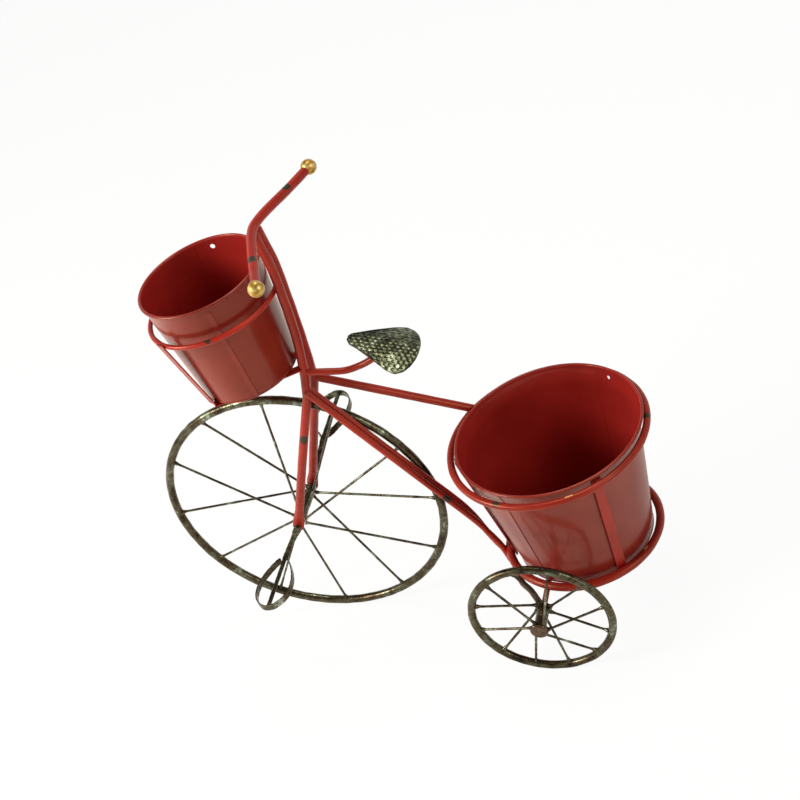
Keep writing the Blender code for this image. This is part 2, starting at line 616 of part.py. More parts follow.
# Rear axle: a plain rod under the bucket, with collars that keep the hubs from sliding in
# and a cap outside each hub.
collar_stop = REAR_HUB_INNER - RUNNING_GAP
collar_start = collar_stop - AXLE_COLLAR_LENGTH
axle_half = REAR_HUB_OUTER + RUNNING_GAP
axle_profile = [(0, -axle_half), (REAR_AXLE_RADIUS, -axle_half),
                (REAR_AXLE_RADIUS, -collar_stop), (AXLE_COLLAR_RADIUS, -collar_stop),
                (AXLE_COLLAR_RADIUS, -collar_start), (REAR_AXLE_RADIUS, -collar_start),
                (REAR_AXLE_RADIUS, collar_start), (AXLE_COLLAR_RADIUS, collar_start),
                (AXLE_COLLAR_RADIUS, collar_stop), (REAR_AXLE_RADIUS, collar_stop),
                (REAR_AXLE_RADIUS, axle_half), (0, axle_half)]
rear_axle = add_piece("rear_axle", turned_mesh(axle_profile, TURNED_SEGMENTS, (0, 1, 0)),
                      ENAMEL_RED)
rear_axle.location = REAR_AXLE
for side_name, side in SIDES:
    face = axle_half + TOUCH_GAP
    cap_profile = [(0, face), (AXLE_CAP_RADIUS, face),
                   (AXLE_CAP_RADIUS, face + AXLE_CAP_THICKNESS / 2),
                   (AXLE_CAP_RADIUS - AXLE_CAP_BEVEL, face + AXLE_CAP_THICKNESS),
                   (0, face + AXLE_CAP_THICKNESS)]
    cap = add_piece("axle_cap_" + side_name, turned_mesh(cap_profile, TURNED_SEGMENTS, (0, side, 0)),
                    PEWTER)
    cap.location = REAR_AXLE


# Wheels: a rolled rim, a turned hub and rods laced to alternate ends of the hub.
def spoke_ends(turn, hub_radius, hub_y, rim_radius):
    """Both ends of a spoke: on the hub, led round by the skew, and on the rim."""
    lead = turn - SPOKE_SKEW
    start = Vector((hub_radius * math.cos(lead), hub_y, hub_radius * math.sin(lead)))
    stop = Vector((rim_radius * math.cos(turn), 0, rim_radius * math.sin(turn)))
    return start, stop


def spoke_turns(first_turn, side):
    """Where the spokes of one side meet the rim: the far ones lie between the near ones."""
    step = 2 * math.pi / SPOKES_A_SIDE
    offset = 0 if side < 0 else step / 2
    return [first_turn + offset + number * step for number in range(SPOKES_A_SIDE)]


SPOKE_RADIUS = SPOKE_DIAMETER / 2
FRONT_RIM_SEGMENTS = 60
front_wheel = joint_empty("front_wheel_axis", FRONT_AXLE)
add_ring("front_rim", FRONT_WHEEL_RADIUS - FRONT_RIM_ROD / 2, FRONT_RIM_ROD / 2, (0, 0, 0),
         FRONT_RIM_SEGMENTS, PEWTER, axis=(0, 1, 0), parent=front_wheel)

leg_inner = FORK_HALF_WIDTH - DROPOUT_HALF_THICKNESS
barrel_end = leg_inner - HUB_CLEARANCE
crank_inner = FORK_HALF_WIDTH + DROPOUT_HALF_THICKNESS + CRANK_CLEARANCE
crank_outer = crank_inner + CRANK_THICKNESS
hub_half_profile = [(FRONT_BARREL_RADIUS, barrel_end), (SHAFT_RADIUS, barrel_end),
                    (SHAFT_RADIUS, crank_outer), (0, crank_outer)]
hub_profile = [(r, -h) for r, h in reversed(hub_half_profile)] + hub_half_profile
add_piece("front_hub", turned_mesh(hub_profile, TURNED_SEGMENTS, (0, 1, 0)), PEWTER, front_wheel)

sagged_rim = (FRONT_WHEEL_RADIUS - FRONT_RIM_ROD) * math.cos(math.pi / FRONT_RIM_SEGMENTS)
for side_name, side in SIDES:
    for number, turn in enumerate(spoke_turns(FRONT_SPOKE_TURN, side), start=1):
        start, stop = spoke_ends(turn, FRONT_BARREL_RADIUS + SPOKE_RADIUS / 2 + TOUCH_GAP,
                                 side * FRONT_SPOKE_PLACE, sagged_rim - 2 * TOUCH_GAP)
        add_piece(f"front_spoke_{side_name}_{number}",
                  straight_rod_mesh(start, stop, SPOKE_RADIUS, SPOKE_SIDES), PEWTER, front_wheel)


def crank_mesh(side, length):
    """A flat bar that tapers from the shaft's boss to the pedal's eye, as an outline set on edge."""
    mesh_data = bmesh.new()
    outline = []
    for centre, radius, first in ((0, CRANK_BOSS_RADIUS, math.pi / 2),
                                  (length, CRANK_EYE_RADIUS, -math.pi / 2)):
        for step in range(CRANK_END_STEPS + 1):
            angle = first + math.pi * step / CRANK_END_STEPS
            outline.append((centre + radius * math.cos(angle), radius * math.sin(angle)))
    for depth in (crank_inner, crank_outer):
        for along, across in outline:
            mesh_data.verts.new((along, side * depth, across))
    mesh_data.verts.ensure_lookup_table()
    count = len(outline)
    near_face = [mesh_data.verts[k] for k in range(count)]
    far_face = [mesh_data.verts[count + k] for k in range(count)]
    mesh_data.faces.new(near_face)
    mesh_data.faces.new(far_face)
    for k in range(count):
        n = (k + 1) % count
        mesh_data.faces.new((near_face[k], near_face[n], far_face[n], far_face[k]))
    return mesh_data


# Half of a pedal's strip, from its nose beside the crank round to the far end of the pin.
# Rows of shares: along the pedal, and half width.
PEDAL_HALF_SHARES = ((0.05, 0.36), (0.15, 0.56), (0.30, 0.80), (0.45, 0.955), (0.58, 1.0),
                     (0.72, 0.955), (0.84, 0.80), (0.93, 0.55), (0.985, 0.27))


def pedal_outline(side):
    """The outer line of a pedal's strip: a drop with its nose at the crank, as a closed list."""
    half = [Vector((PEDAL_NOSE_HALF_WIDTH, side * pedal_start, 0))]
    for along_share, half_share in PEDAL_HALF_SHARES:
        half.append(Vector((half_share * PEDAL_WIDTH / 2,
                            side * (pedal_start + along_share * PEDAL_LENGTH), 0)))
    mirrored = [Vector((-point.x, point.y, 0)) for point in reversed(half)]
    return half + [Vector((0, side * (pedal_start + PEDAL_LENGTH), 0))] + mirrored


pedal_start = crank_outer + RUNNING_GAP
pin_length = PEDAL_LENGTH * PEDAL_PIN_SHARE
for (side_name, side), crank_length, crank_turn in zip(SIDES, CRANK_LENGTHS, CRANK_TURNS):
    crank = add_piece("crank_" + side_name, crank_mesh(side, crank_length), PEWTER, front_wheel)
    eye = Vector((crank_length, 0, 0))
    pin_from = side * (crank_outer - CRANK_THICKNESS / 2)
    pin_to = side * (pedal_start + pin_length)
    pin = add_piece("pedal_pin_tool",
                    straight_rod_mesh(eye + Vector((0, pin_from, 0)), eye + Vector((0, pin_to, 0)),
                                      PEDAL_PIN_RADIUS, ROD_SIDES), PEWTER, front_wheel)
    combine(crank, pin, "UNION")
    bore = cylinder_cutter("crank_bore_cutter", Vector((0, side * (crank_inner + crank_outer) / 2, 0)),
                           (0, 1, 0), SHAFT_RADIUS + TOUCH_GAP, CRANK_THICKNESS + CUT_OVERRUN)
    bore.parent = front_wheel
    combine(crank, bore, "DIFFERENCE")
    crank.rotation_euler = (0, -crank_turn, 0)

    # Pedal: a sleeve on the crank's pin with an oval loop of flat strip around it.
    eye_place = FRONT_AXLE + crank_length * Vector((math.cos(crank_turn), 0, math.sin(crank_turn)))
    pedal_axis = joint_empty("pedal_axis_" + side_name, eye_place)
    sleeve_stop = pedal_start + PEDAL_LENGTH - PEDAL_STRIP_THICKNESS / 2
    loop_path = pedal_outline(side)
    loop_middle = Vector((0, side * (pedal_start + PEDAL_LENGTH / 2), 0))
    pedal_data = bmesh.new()
    loops = []
    half_strip = PEDAL_STRIP_WIDTH / 2
    for before, point, after in zip([loop_path[-1]] + loop_path, loop_path,
                                    loop_path[1:] + loop_path[:1]):
        across = (after - before).cross(Vector((0, 0, 1))).normalized() * PEDAL_STRIP_THICKNESS
        inward = across if across.dot(loop_middle - point) > 0 else -across
        corners = (point + Vector((0, 0, half_strip)), point - Vector((0, 0, half_strip)),
                   point + inward - Vector((0, 0, half_strip)),
                   point + inward + Vector((0, 0, half_strip)))
        loops.append([pedal_data.verts.new(corner) for corner in corners])
    for loop, after in zip(loops, loops[1:] + loops[:1]):
        for k in range(4):
            n = (k + 1) % 4
            pedal_data.faces.new((loop[k], loop[n], after[n], after[k]))
    pedal = add_piece("pedal_" + side_name, pedal_data, PEWTER, pedal_axis)
    sleeve = add_piece("sleeve_tool",
                       straight_rod_mesh(Vector((0, side * (pedal_start + RUNNING_GAP), 0)),
                                         Vector((0, side * (sleeve_stop - RUNNING_GAP), 0)),
                                         PEDAL_SLEEVE_RADIUS, TUBE_SIDES), PEWTER, pedal_axis)
    combine(pedal, sleeve, "UNION")
    pin_room = pin_length + CUT_OVERRUN
    pin_middle = Vector((0, side * (pedal_start + pin_room / 2 - CUT_OVERRUN / 2), 0))
    bore = cylinder_cutter("pedal_bore_cutter", pin_middle, (0, 1, 0),
                           PEDAL_PIN_RADIUS + TOUCH_GAP, pin_room + CUT_OVERRUN, TUBE_SIDES)
    bore.parent = pedal_axis
    combine(pedal, bore, "DIFFERENCE")


# Rear wheels: the hub and its spokes are welded up as one spider inside the rim.
REAR_RIM_SEGMENTS = 40
rear_sagged_rim = (REAR_WHEEL_RADIUS - REAR_RIM_ROD) * math.cos(math.pi / REAR_RIM_SEGMENTS)
for side_name, side in SIDES:
    wheel_place = REAR_AXLE + Vector((0, side * REAR_TRACK / 2, 0))
    wheel = joint_empty("rear_wheel_axis_" + side_name, wheel_place)
    add_ring("rear_rim_" + side_name, REAR_WHEEL_RADIUS - REAR_RIM_ROD / 2, REAR_RIM_ROD / 2,
             (0, 0, 0), REAR_RIM_SEGMENTS, PEWTER, axis=(0, 1, 0), parent=wheel)
    bore_radius = REAR_AXLE_RADIUS + RUNNING_GAP
    half_hub = REAR_HUB_LENGTH / 2
    flange_step = half_hub - REAR_FLANGE_THICKNESS
    hub_profile = [(bore_radius, -half_hub), (REAR_FLANGE_RADIUS, -half_hub),
                   (REAR_FLANGE_RADIUS, -flange_step), (REAR_HUB_RADIUS, -flange_step),
                   (REAR_HUB_RADIUS, flange_step), (REAR_FLANGE_RADIUS, flange_step),
                   (REAR_FLANGE_RADIUS, half_hub), (bore_radius, half_hub)]
    spider = add_piece("rear_hub_" + side_name,
                       turned_mesh(hub_profile, TURNED_SEGMENTS, (0, 1, 0)), PEWTER, wheel)
    hub_y = half_hub - REAR_FLANGE_THICKNESS / 2
    for end in (-1, 1):
        for turn in spoke_turns(REAR_SPOKE_TURN, end):
            start, stop = spoke_ends(turn, REAR_FLANGE_RADIUS - SPOKE_RADIUS, end * hub_y,
                                     rear_sagged_rim - 2 * TOUCH_GAP)
            spoke = add_piece("spoke_tool", straight_rod_mesh(start, stop, SPOKE_RADIUS,
                                                              SPOKE_SIDES), PEWTER, wheel)
            combine(spider, spoke, "UNION")


# Buckets: a rolled rim above a flared lip, a tapered wall with two lap seams and a floor, with
# a small hole under the rim.
BEAD_STEPS = 5
BEAD_FIRST = math.radians(-60)
BEAD_LAST = math.radians(120)


def seamed_columns(radius, seam_turns):
    """Where a bucket's columns stand, as pairs of a turn and the share of the lap's rise there."""
    half_lap = POT_LAP_WIDTH / radius / 2
    step = POT_LAP_STEP / radius
    columns = []
    for seam in seam_turns:
        columns += [(seam - half_lap - step, 0), (seam - half_lap, 1), (seam + half_lap, 1),
                    (seam + half_lap + step, 0)]
    for k in range(RING_SEGMENTS):
        turn = 2 * math.pi * k / RING_SEGMENTS
        away = min(abs(math.remainder(turn - seam, 2 * math.pi)) for seam in seam_turns)
        if away > half_lap + 2 * step:
            columns.append((turn, 0))
    return sorted((turn % (2 * math.pi), share) for turn, share in columns)


def pot_mesh(profile, columns):
    """Join circles of (radius, height, lap share) from the underside round to the floor."""
    mesh_data = bmesh.new()
    circles = []
    for radius, height, lap in profile:
        circle = []
        for turn, share in columns:
            out = radius + lap * share * POT_LAP_RISE
            circle.append(mesh_data.verts.new((out * math.cos(turn), out * math.sin(turn), height)))
        circles.append(circle)
    for circle, after in zip(circles, circles[1:]):
        for k in range(len(columns)):
            n = (k + 1) % len(columns)
            mesh_data.faces.new((circle[k], circle[n], after[n], after[k]))
    mesh_data.faces.new(circles[0])
    mesh_data.faces.new(circles[-1])
    return mesh_data


def add_pot(name, rim_radius, neck_radius, foot_radius, height, hole_turn, seam_turns):
    """One bucket, standing on its own origin."""
    bead_middle = height - POT_BEAD_RADIUS
    bead_circle = rim_radius - POT_BEAD_RADIUS
    lip_radius = bead_circle - POT_BEAD_RADIUS / 2
    lip_height = bead_middle - POT_BEAD_RADIUS
    neck_height = height - POT_LIP_HEIGHT
    profile = [(foot_radius, 0, 1), (neck_radius, neck_height, 1), (lip_radius, lip_height, 0)]
    for step in range(BEAD_STEPS + 1):
        angle = BEAD_FIRST + (BEAD_LAST - BEAD_FIRST) * step / BEAD_STEPS
        profile.append((bead_circle + POT_BEAD_RADIUS * math.cos(angle),
                        bead_middle + POT_BEAD_RADIUS * math.sin(angle), 0))
    profile += [(lip_radius - POT_WALL, lip_height, 0), (neck_radius - POT_WALL, neck_height, 0),
                (foot_radius - POT_WALL, POT_FLOOR, 0)]
    pot = add_piece(name, pot_mesh(profile, seamed_columns(neck_radius, seam_turns)), ENAMEL_RED)
    outward = Vector((math.cos(hole_turn), math.sin(hole_turn), 0))
    hole = cylinder_cutter("pot_hole_cutter", neck_radius * outward
                           + Vector((0, 0, height - POT_HOLE_DROP)), outward, POT_HOLE_RADIUS,
                           2 * CUT_OVERRUN + 4 * POT_WALL, TUBE_SIDES)
    combine(pot, hole, "DIFFERENCE")
    return pot


rear_pot = add_pot("rear_pot", REAR_POT_RIM_RADIUS, REAR_POT_NECK_RADIUS, REAR_POT_FOOT_RADIUS,
                   REAR_POT_HEIGHT, REAR_POT_HOLE_TURN, REAR_POT_SEAM_TURNS)
rear_pot.location = (REAR_POT_X, 0, REAR_POT_FOOT)

# Front basket: a ring welded to the stem and two flat straps that run down its sides, under
# the bucket and back to the fork tubes. It leans a little forward with its bucket.
ring_height_tube = leg_place(FRONT_RING_HEIGHT, 1)
front_ring_place = Vector((ring_height_tube.x - TUBE_RADIUS - TOUCH_GAP - FRONT_RING_ROD_RADIUS
                           - FRONT_RING_RADIUS, 0, ring_height_tube.z))
add_ring("front_basket_ring", FRONT_RING_RADIUS, FRONT_RING_ROD_RADIUS, front_ring_place,
         SMALL_RING_SEGMENTS, ENAMEL_RED, tilt=FRONT_POT_TILT)
front_frame = (Matrix.Translation(front_ring_place)
               @ Matrix.Rotation(-FRONT_POT_TILT, 4, "Y"))
front_pot = add_pot("front_pot", FRONT_POT_RIM_RADIUS, FRONT_POT_NECK_RADIUS,
                    FRONT_POT_FOOT_RADIUS, FRONT_POT_HEIGHT, FRONT_POT_HOLE_TURN,
                    FRONT_POT_SEAM_TURNS)
front_pot.location = front_frame @ Vector((0, 0, FRONT_RING_DROP - FRONT_POT_HEIGHT))
front_pot.rotation_euler = (0, -FRONT_POT_TILT, 0)


def bent_path(points, bend, steps):
    """A line of straight runs whose corners are rounded, starting a bend's length from each."""
    path = [points[0]]
    for before, corner, after in zip(points, points[1:], points[2:]):
        start = corner + bend * (before - corner).normalized()
        stop = corner + bend * (after - corner).normalized()
        for step in range(steps + 1):
            t = step / steps
            path.append(start * (1 - t) ** 2 + corner * 2 * t * (1 - t) + stop * t ** 2)
    return path + [points[-1]]


strap_floor = FRONT_RING_DROP - FRONT_POT_HEIGHT - TOUCH_GAP - FRONT_STRAP_THICKNESS / 2
strap_outside = FRONT_RING_RADIUS + FRONT_RING_ROD_RADIUS + 2 * TOUCH_GAP + FRONT_STRAP_THICKNESS / 2
strap_foot = FRONT_POT_FOOT_RADIUS + FRONT_STRAP_STANDOFF + FRONT_STRAP_THICKNESS / 2
for side_name, side in SIDES:
    outward = Vector((math.cos(FRONT_STRAP_TURN), side * math.sin(FRONT_STRAP_TURN), 0))
    sideways = Vector((-outward.y, outward.x, 0))
    top = front_frame @ (outward * strap_outside + Vector((0, 0, FRONT_STRAP_TOP)))
    corner = front_frame @ (outward * strap_foot + Vector((0, 0, strap_floor)))
    rise = (CROWN.x - corner.x) * math.tan(FRONT_POT_TILT)
    stem_place = leg_place(corner.z + rise - CROWN.z, side)
    towards = (stem_place - corner).normalized()
    stop = stem_place - towards * (TUBE_RADIUS + 2 * TOUCH_GAP)
    under_side = towards.cross(front_frame.to_3x3() @ Vector((0, 0, 1)))
    half_width = FRONT_STRAP_WIDTH / 2
    half_thickness = FRONT_STRAP_THICKNESS / 2
    outline = [(-half_width, -half_thickness), (half_width, -half_thickness),
               (half_width, half_thickness), (-half_width, half_thickness)]
    add_piece("front_basket_strap_" + side_name,
              swept_mesh(bent_path([top, corner, stop], FRONT_STRAP_BEND, 4),
                         lambda i: outline, sideways, under_side), ENAMEL_RED)
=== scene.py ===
"""A decorative tricycle that carries two flower buckets, as seen in its product photograph.

The pieces follow each other as the planter is put together: wheels, fork, backbone, saddle,
baskets, buckets. Lengths are metres. The front wheel points to -X and the near side is -Y.
"""

import math

import bmesh
import bpy
import numpy as np
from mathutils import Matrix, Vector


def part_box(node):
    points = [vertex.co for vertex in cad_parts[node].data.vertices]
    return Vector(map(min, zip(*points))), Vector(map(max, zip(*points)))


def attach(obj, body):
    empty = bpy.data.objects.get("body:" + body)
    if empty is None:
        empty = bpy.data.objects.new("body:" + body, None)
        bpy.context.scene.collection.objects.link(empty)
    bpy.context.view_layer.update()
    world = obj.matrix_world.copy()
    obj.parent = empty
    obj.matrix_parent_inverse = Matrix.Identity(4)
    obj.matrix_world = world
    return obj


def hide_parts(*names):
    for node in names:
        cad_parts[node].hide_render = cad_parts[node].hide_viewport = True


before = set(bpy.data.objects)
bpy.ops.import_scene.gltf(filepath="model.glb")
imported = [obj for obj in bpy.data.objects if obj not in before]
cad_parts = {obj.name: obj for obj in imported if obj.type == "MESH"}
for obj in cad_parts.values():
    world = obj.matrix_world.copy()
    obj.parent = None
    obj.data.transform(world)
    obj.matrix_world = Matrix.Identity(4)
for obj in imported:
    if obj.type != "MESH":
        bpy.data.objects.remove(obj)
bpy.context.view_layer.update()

# The photograph's camera stands high on the near side, behind the rear wheels' end. Its place,
# turn and lens were worked out from the ovals of the wheels, rings and buckets.
CAMERA_PLACE = (0.62404, -1.14554, 1.22321)
CAMERA_TURN_DEGREES = (51.1574, 18.9859, 12.5235)
CAMERA_LENS_MM = 75.36
camera_data = bpy.data.cameras.new("camera")
camera_data.lens = CAMERA_LENS_MM
camera_data.sensor_width = 36
camera = bpy.data.objects.new("camera", camera_data)
camera.location = CAMERA_PLACE
camera.rotation_euler = [math.radians(turn) for turn in CAMERA_TURN_DEGREES]
bpy.context.scene.collection.objects.link(camera)
bpy.context.scene.camera = camera


# Materials are built from nodes that one function adds, with colours written as sRGB hex. Each
# is named for its finish, painted light included, and reads the place on the piece, which never
# moves in its mesh.
def shade(code):
    """The linear colour of an sRGB hex value such as #8c2f24."""
    values = np.array([int(code[i:i + 2], 16) for i in (1, 3, 5)]) / 255
    linear = np.where(values <= 0.04045, values / 12.92, ((values + 0.055) / 1.055) ** 2.4)
    return (*linear.tolist(), 1.0)


def new_material(name):
    """An empty node material with its output, and the Principled shader that feeds it."""
    material = bpy.data.materials.new(name)
    material.use_nodes = True
    return material


def add(material, kind, fields=None, **inputs):
    """Add a node: fields are its settings, a ramp's stops among them, and inputs are values or
    sockets by name, or by number after an underscore."""
    node = material.node_tree.nodes.new("ShaderNode" + kind)
    for field, value in (fields or {}).items():
        if field == "stops":
            ramp = node.color_ramp
            while len(ramp.elements) < len(value):
                ramp.elements.new(0.5)
            for element, (place, colour) in zip(ramp.elements, value):
                element.position = place
                element.color = colour
        else:
            setattr(node, field, value)
    for name, value in inputs.items():
        key = int(name[1:]) if name[0] == "_" else name.replace("_", " ")
        if isinstance(value, bpy.types.NodeSocket):
            material.node_tree.links.new(value, node.inputs[key])
        else:
            node.inputs[key].default_value = value
    return node


def principled(material, **inputs):
    """Set the material's own Principled shader from values or sockets by name."""
    shader = material.node_tree.nodes["Principled BSDF"]
    for name, value in inputs.items():
        socket = shader.inputs[name.replace("_", " ")]
        if isinstance(value, bpy.types.NodeSocket):
            material.node_tree.links.new(value, socket)
        else:
            socket.default_value = value


# Floor, backdrop light and lamps: a white studio sweep with one large soft lamp on each side
# and one above, so that the enamel shows a broad pale highlight along its left sides. The world
# is white round the sides and dim overhead, so that the metal shows pale and dark bands.
FLOOR_SIZE = 12.0
PAPER_GLOW = 0.93
floor_material = new_material("white studio paper")
principled(floor_material, Base_Color=shade("#ffffff"), Roughness=0.9, Specular_IOR_Level=0.1)
paper_seen = add(floor_material, "MixShader",
                 _0=add(floor_material, "Math", {"operation": "MULTIPLY"},
                        _0=add(floor_material, "LightPath").outputs["Is Camera Ray"],
                        _1=PAPER_GLOW).outputs[0],
                 _1=floor_material.node_tree.nodes["Principled BSDF"].outputs[0],
                 _2=add(floor_material, "Emission", Strength=1.0).outputs[0])
floor_material.node_tree.links.new(
    paper_seen.outputs[0], floor_material.node_tree.nodes["Material Output"].inputs["Surface"])
floor_mesh = bpy.data.meshes.new("floor")
floor_half = FLOOR_SIZE / 2
floor_mesh.from_pydata([(-floor_half, -floor_half, 0), (floor_half, -floor_half, 0),
                        (floor_half, floor_half, 0), (-floor_half, floor_half, 0)],
                       [], [(0, 1, 2, 3)])
floor_mesh.materials.append(floor_material)
floor = bpy.data.objects.new("floor", floor_mesh)
bpy.context.scene.collection.objects.link(floor)

WORLD_LIGHT = 0.42
CEILING_SHARE = 0.10
world = bpy.data.worlds.new("studio")
world.use_nodes = True
bpy.context.scene.world = world
seen_by = add(world, "LightPath").outputs
seen = add(world, "Math", {"operation": "MAXIMUM"}, _0=seen_by["Is Camera Ray"],
           _1=seen_by["Is Glossy Ray"]).outputs[0]
level = add(world, "MapRange", Value=seen, To_Min=WORLD_LIGHT, To_Max=1.0).outputs["Result"]
sky = add(world, "TexCoord").outputs["Generated"]
upward = add(world, "SeparateXYZ", Vector=sky).outputs["Z"]
dimming = add(world, "MapRange", {"interpolation_type": "SMOOTHSTEP"}, Value=upward,
              From_Min=0.15, From_Max=0.75, To_Min=1.0, To_Max=CEILING_SHARE).outputs["Result"]
background = world.node_tree.nodes["Background"]
background.inputs["Color"].default_value = shade("#fffefb")
world.node_tree.links.new(
    add(world, "Math", {"operation": "MULTIPLY"}, _0=level, _1=dimming).outputs[0],
    background.inputs["Strength"])

LAMPS = (("left lamp", (-1.6, -0.9, 1.4), 0.9, 52), ("right lamp", (1.7, -0.7, 1.3), 0.8, 12),
         ("top lamp", (0.1, 0.5, 2.2), 0.9, 20))
LAMP_COLOUR = (1.0, 0.95, 0.85)
for lamp_name, place, size, power in LAMPS:
    lamp_data = bpy.data.lights.new(lamp_name, "AREA")
    lamp_data.size = size
    lamp_data.energy = power
    lamp_data.color = LAMP_COLOUR
    lamp = bpy.data.objects.new(lamp_name, lamp_data)
    lamp.location = place
    aim = np.array([0, 0, 0.25]) - np.array(place)
    lamp.rotation_euler = (math.atan2(math.hypot(aim[0], aim[1]), -aim[2]), 0,
                           math.atan2(-aim[0], aim[1]))
    bpy.context.scene.collection.objects.link(lamp)
bpy.context.scene.view_settings.view_transform = "Standard"


# Front wheel rim: one round bar rolled into a hoop and closed by a weld. It is hammered all
# over before it is painted, so its section swells and flattens along its length.
def between(node):
    """Middle and half size of a node's box."""
    low, high = (np.array(corner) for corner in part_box(node))
    return (low + high) / 2, (high - low) / 2


def unit(rows):
    """Each row of coordinates made one long."""
    return rows / np.linalg.norm(rows, axis=-1, keepdims=True)


def circle(count):
    """Turns spaced evenly round a circle, from 0."""
    return np.linspace(0, 2 * np.pi, count, endpoint=False)


def round_axis(direction):
    """A direction made one long, and two unit directions square to it and each other."""
    axis = unit(np.array(direction, float))
    first = unit(np.cross((0, 1, 0), axis)) if abs(axis[1]) < 0.9 else np.array([1.0, 0, 0])
    return axis, first, np.cross(axis, first)


def ripple(points, length, seed):
    """Soft bumps from about -1 to 1: the mean of nine sine waves of a length, in seeded
    directions, each with its own phase."""
    draw = np.random.default_rng(seed)
    waves = unit(draw.normal(size=(9, 3))) * 2 * np.pi / length
    return np.sin(points @ waves.T + draw.uniform(0, 2 * np.pi, 9)).mean(-1) * 1.6


def dented(grid, depth, length, seed):
    """The grid hammered: each point moves towards the middle of its row by up to depth, by
    ripple's bumps of that length."""
    out = grid - grid.mean(1, keepdims=True)
    out = out / np.maximum(np.linalg.norm(out, axis=-1, keepdims=True), 1e-9)
    return grid - depth * (0.5 + 0.5 * ripple(grid, length, seed))[..., None] * out


def hoop(middle, radius, rod, direction, steps, sides=20):
    """Rows of section points of a round bar bent to a circle: at turn a and section angle b,
    radius plus rod cos b out from the axis, and rod sin b along it."""
    axis, first, second = round_axis(direction)
    turn = circle(steps)[:, None, None]
    around = circle(sides)[None, :, None]
    out = np.cos(turn) * first + np.sin(turn) * second
    return middle + (radius + rod * np.cos(around)) * out + rod * np.sin(around) * axis


SHARP_TURN = math.radians(50)
SAME_PLACE = 1e-7


def skin(name, grid, loop=False):
    """Closed smooth mesh through rows of points. Columns close round each row. Rows close on
    each other where loop is true, and otherwise the first and last are faced over."""
    rows, columns = grid.shape[:2]
    place = np.arange(rows * columns).reshape(rows, columns)
    first, second = (place, np.roll(place, -1, 0)) if loop else (place[:-1], place[1:])
    quads = np.stack([first, np.roll(first, -1, 1), np.roll(second, -1, 1), second], -1)
    faces = quads.reshape(-1, 4).tolist()
    if not loop:
        faces += [place[0].tolist(), place[-1][::-1].tolist()]
    mesh = bpy.data.meshes.new(name)
    mesh.from_pydata(grid.reshape(-1, 3).tolist(), [], faces)
    work = bmesh.new()
    work.from_mesh(mesh)
    bmesh.ops.remove_doubles(work, verts=work.verts, dist=SAME_PLACE)
    if work.calc_volume(signed=True) < 0:
        bmesh.ops.reverse_faces(work, faces=work.faces)
    work.to_mesh(mesh)
    work.free()
    mesh.shade_smooth()
    mesh.set_sharp_from_angle(angle=SHARP_TURN)
    piece = bpy.data.objects.new(name, mesh)
    bpy.context.scene.collection.objects.link(piece)
    return piece


def joined(name, pieces):
    """One object from several closed meshes, which stay separate shells in it."""
    work = bmesh.new()
    for piece in pieces:
        work.from_mesh(piece.data)
        old = piece.data
        bpy.data.objects.remove(piece, do_unlink=True)
        bpy.data.meshes.remove(old)
    mesh = bpy.data.meshes.new(name)
    work.to_mesh(mesh)
    work.free()
    mesh.set_sharp_from_angle(angle=SHARP_TURN)
    whole = bpy.data.objects.new(name, mesh)
    bpy.context.scene.collection.objects.link(whole)
    return whole


def dress(piece, material, body, slot, *nodes):
    """Give a piece its material and its body, and hide the CAD nodes that it stands for."""
    piece.data.materials.append(material)
    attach(piece, body)
    if nodes:
        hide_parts(*nodes)


# Antiqued pewter paint: a dark bronze-brown coat with grey-green metal mottled through it at
# random. Brush drags run to a few centimetres, mottling to a few millimetres.
def pewter_paint(name, mottle_mm, dark, brown, middle, pale):
    """Mottled charcoal, brown, olive and pale pewter, a little metallic, with a faint bump."""
    material = new_material(name)
    place = add(material, "TexCoord").outputs["Object"]
    drag = add(material, "TexNoise", Vector=place, Scale=1000 / (mottle_mm * 5), Detail=3.0,
               Roughness=0.55)
    spots = add(material, "TexNoise", Vector=place, Scale=1000 / mottle_mm, Detail=5.0,
                Roughness=0.65)
    mixed = add(material, "Math", {"operation": "MULTIPLY_ADD"}, _0=drag.outputs["Fac"], _1=0.55,
                _2=add(material, "Math", {"operation": "MULTIPLY"}, _0=spots.outputs["Fac"],
                       _1=0.45).outputs[0])
    colour = add(material, "ValToRGB", {"stops": [
        (0.38, shade(dark)), (0.47, shade(brown)), (0.57, shade(middle)), (0.73, shade(pale))]},
        Fac=mixed.outputs[0])
    gloss = add(material, "MapRange", Value=spots.outputs["Fac"], From_Min=0.3, From_Max=0.7,
                To_Min=0.36, To_Max=0.17)
    bump = add(material, "Bump", Strength=0.2, Distance=0.0006, Height=spots.outputs["Fac"])
    principled(material, Base_Color=colour.outputs["Color"], Metallic=0.85,
               Roughness=gloss.outputs["Result"], Normal=bump.outputs["Normal"])
    return material


# On the wheels the palest grey-green stop is a painted highlight, spread at random by the noise.
wheel_pewter = pewter_paint("antiqued pewter paint on rolled steel", 4, "#1c1e18", "#4a3d29",
                            "#5b5f4d", "#c4c8b3")
front_middle, front_half = between("front_rim")
front_rod = front_half[1]
front_radius = front_half[2] - front_rod
RIM_DENT = (0.0005, 0.014)
front_rim = skin("front_wheel_hoop", dented(
    hoop(front_middle, front_radius, front_rod, (0, 1, 0), 400, 24), *RIM_DENT, 3), loop=True)
dress(front_rim, wheel_pewter, "front_wheel", "wheel_pewter", "front_rim")


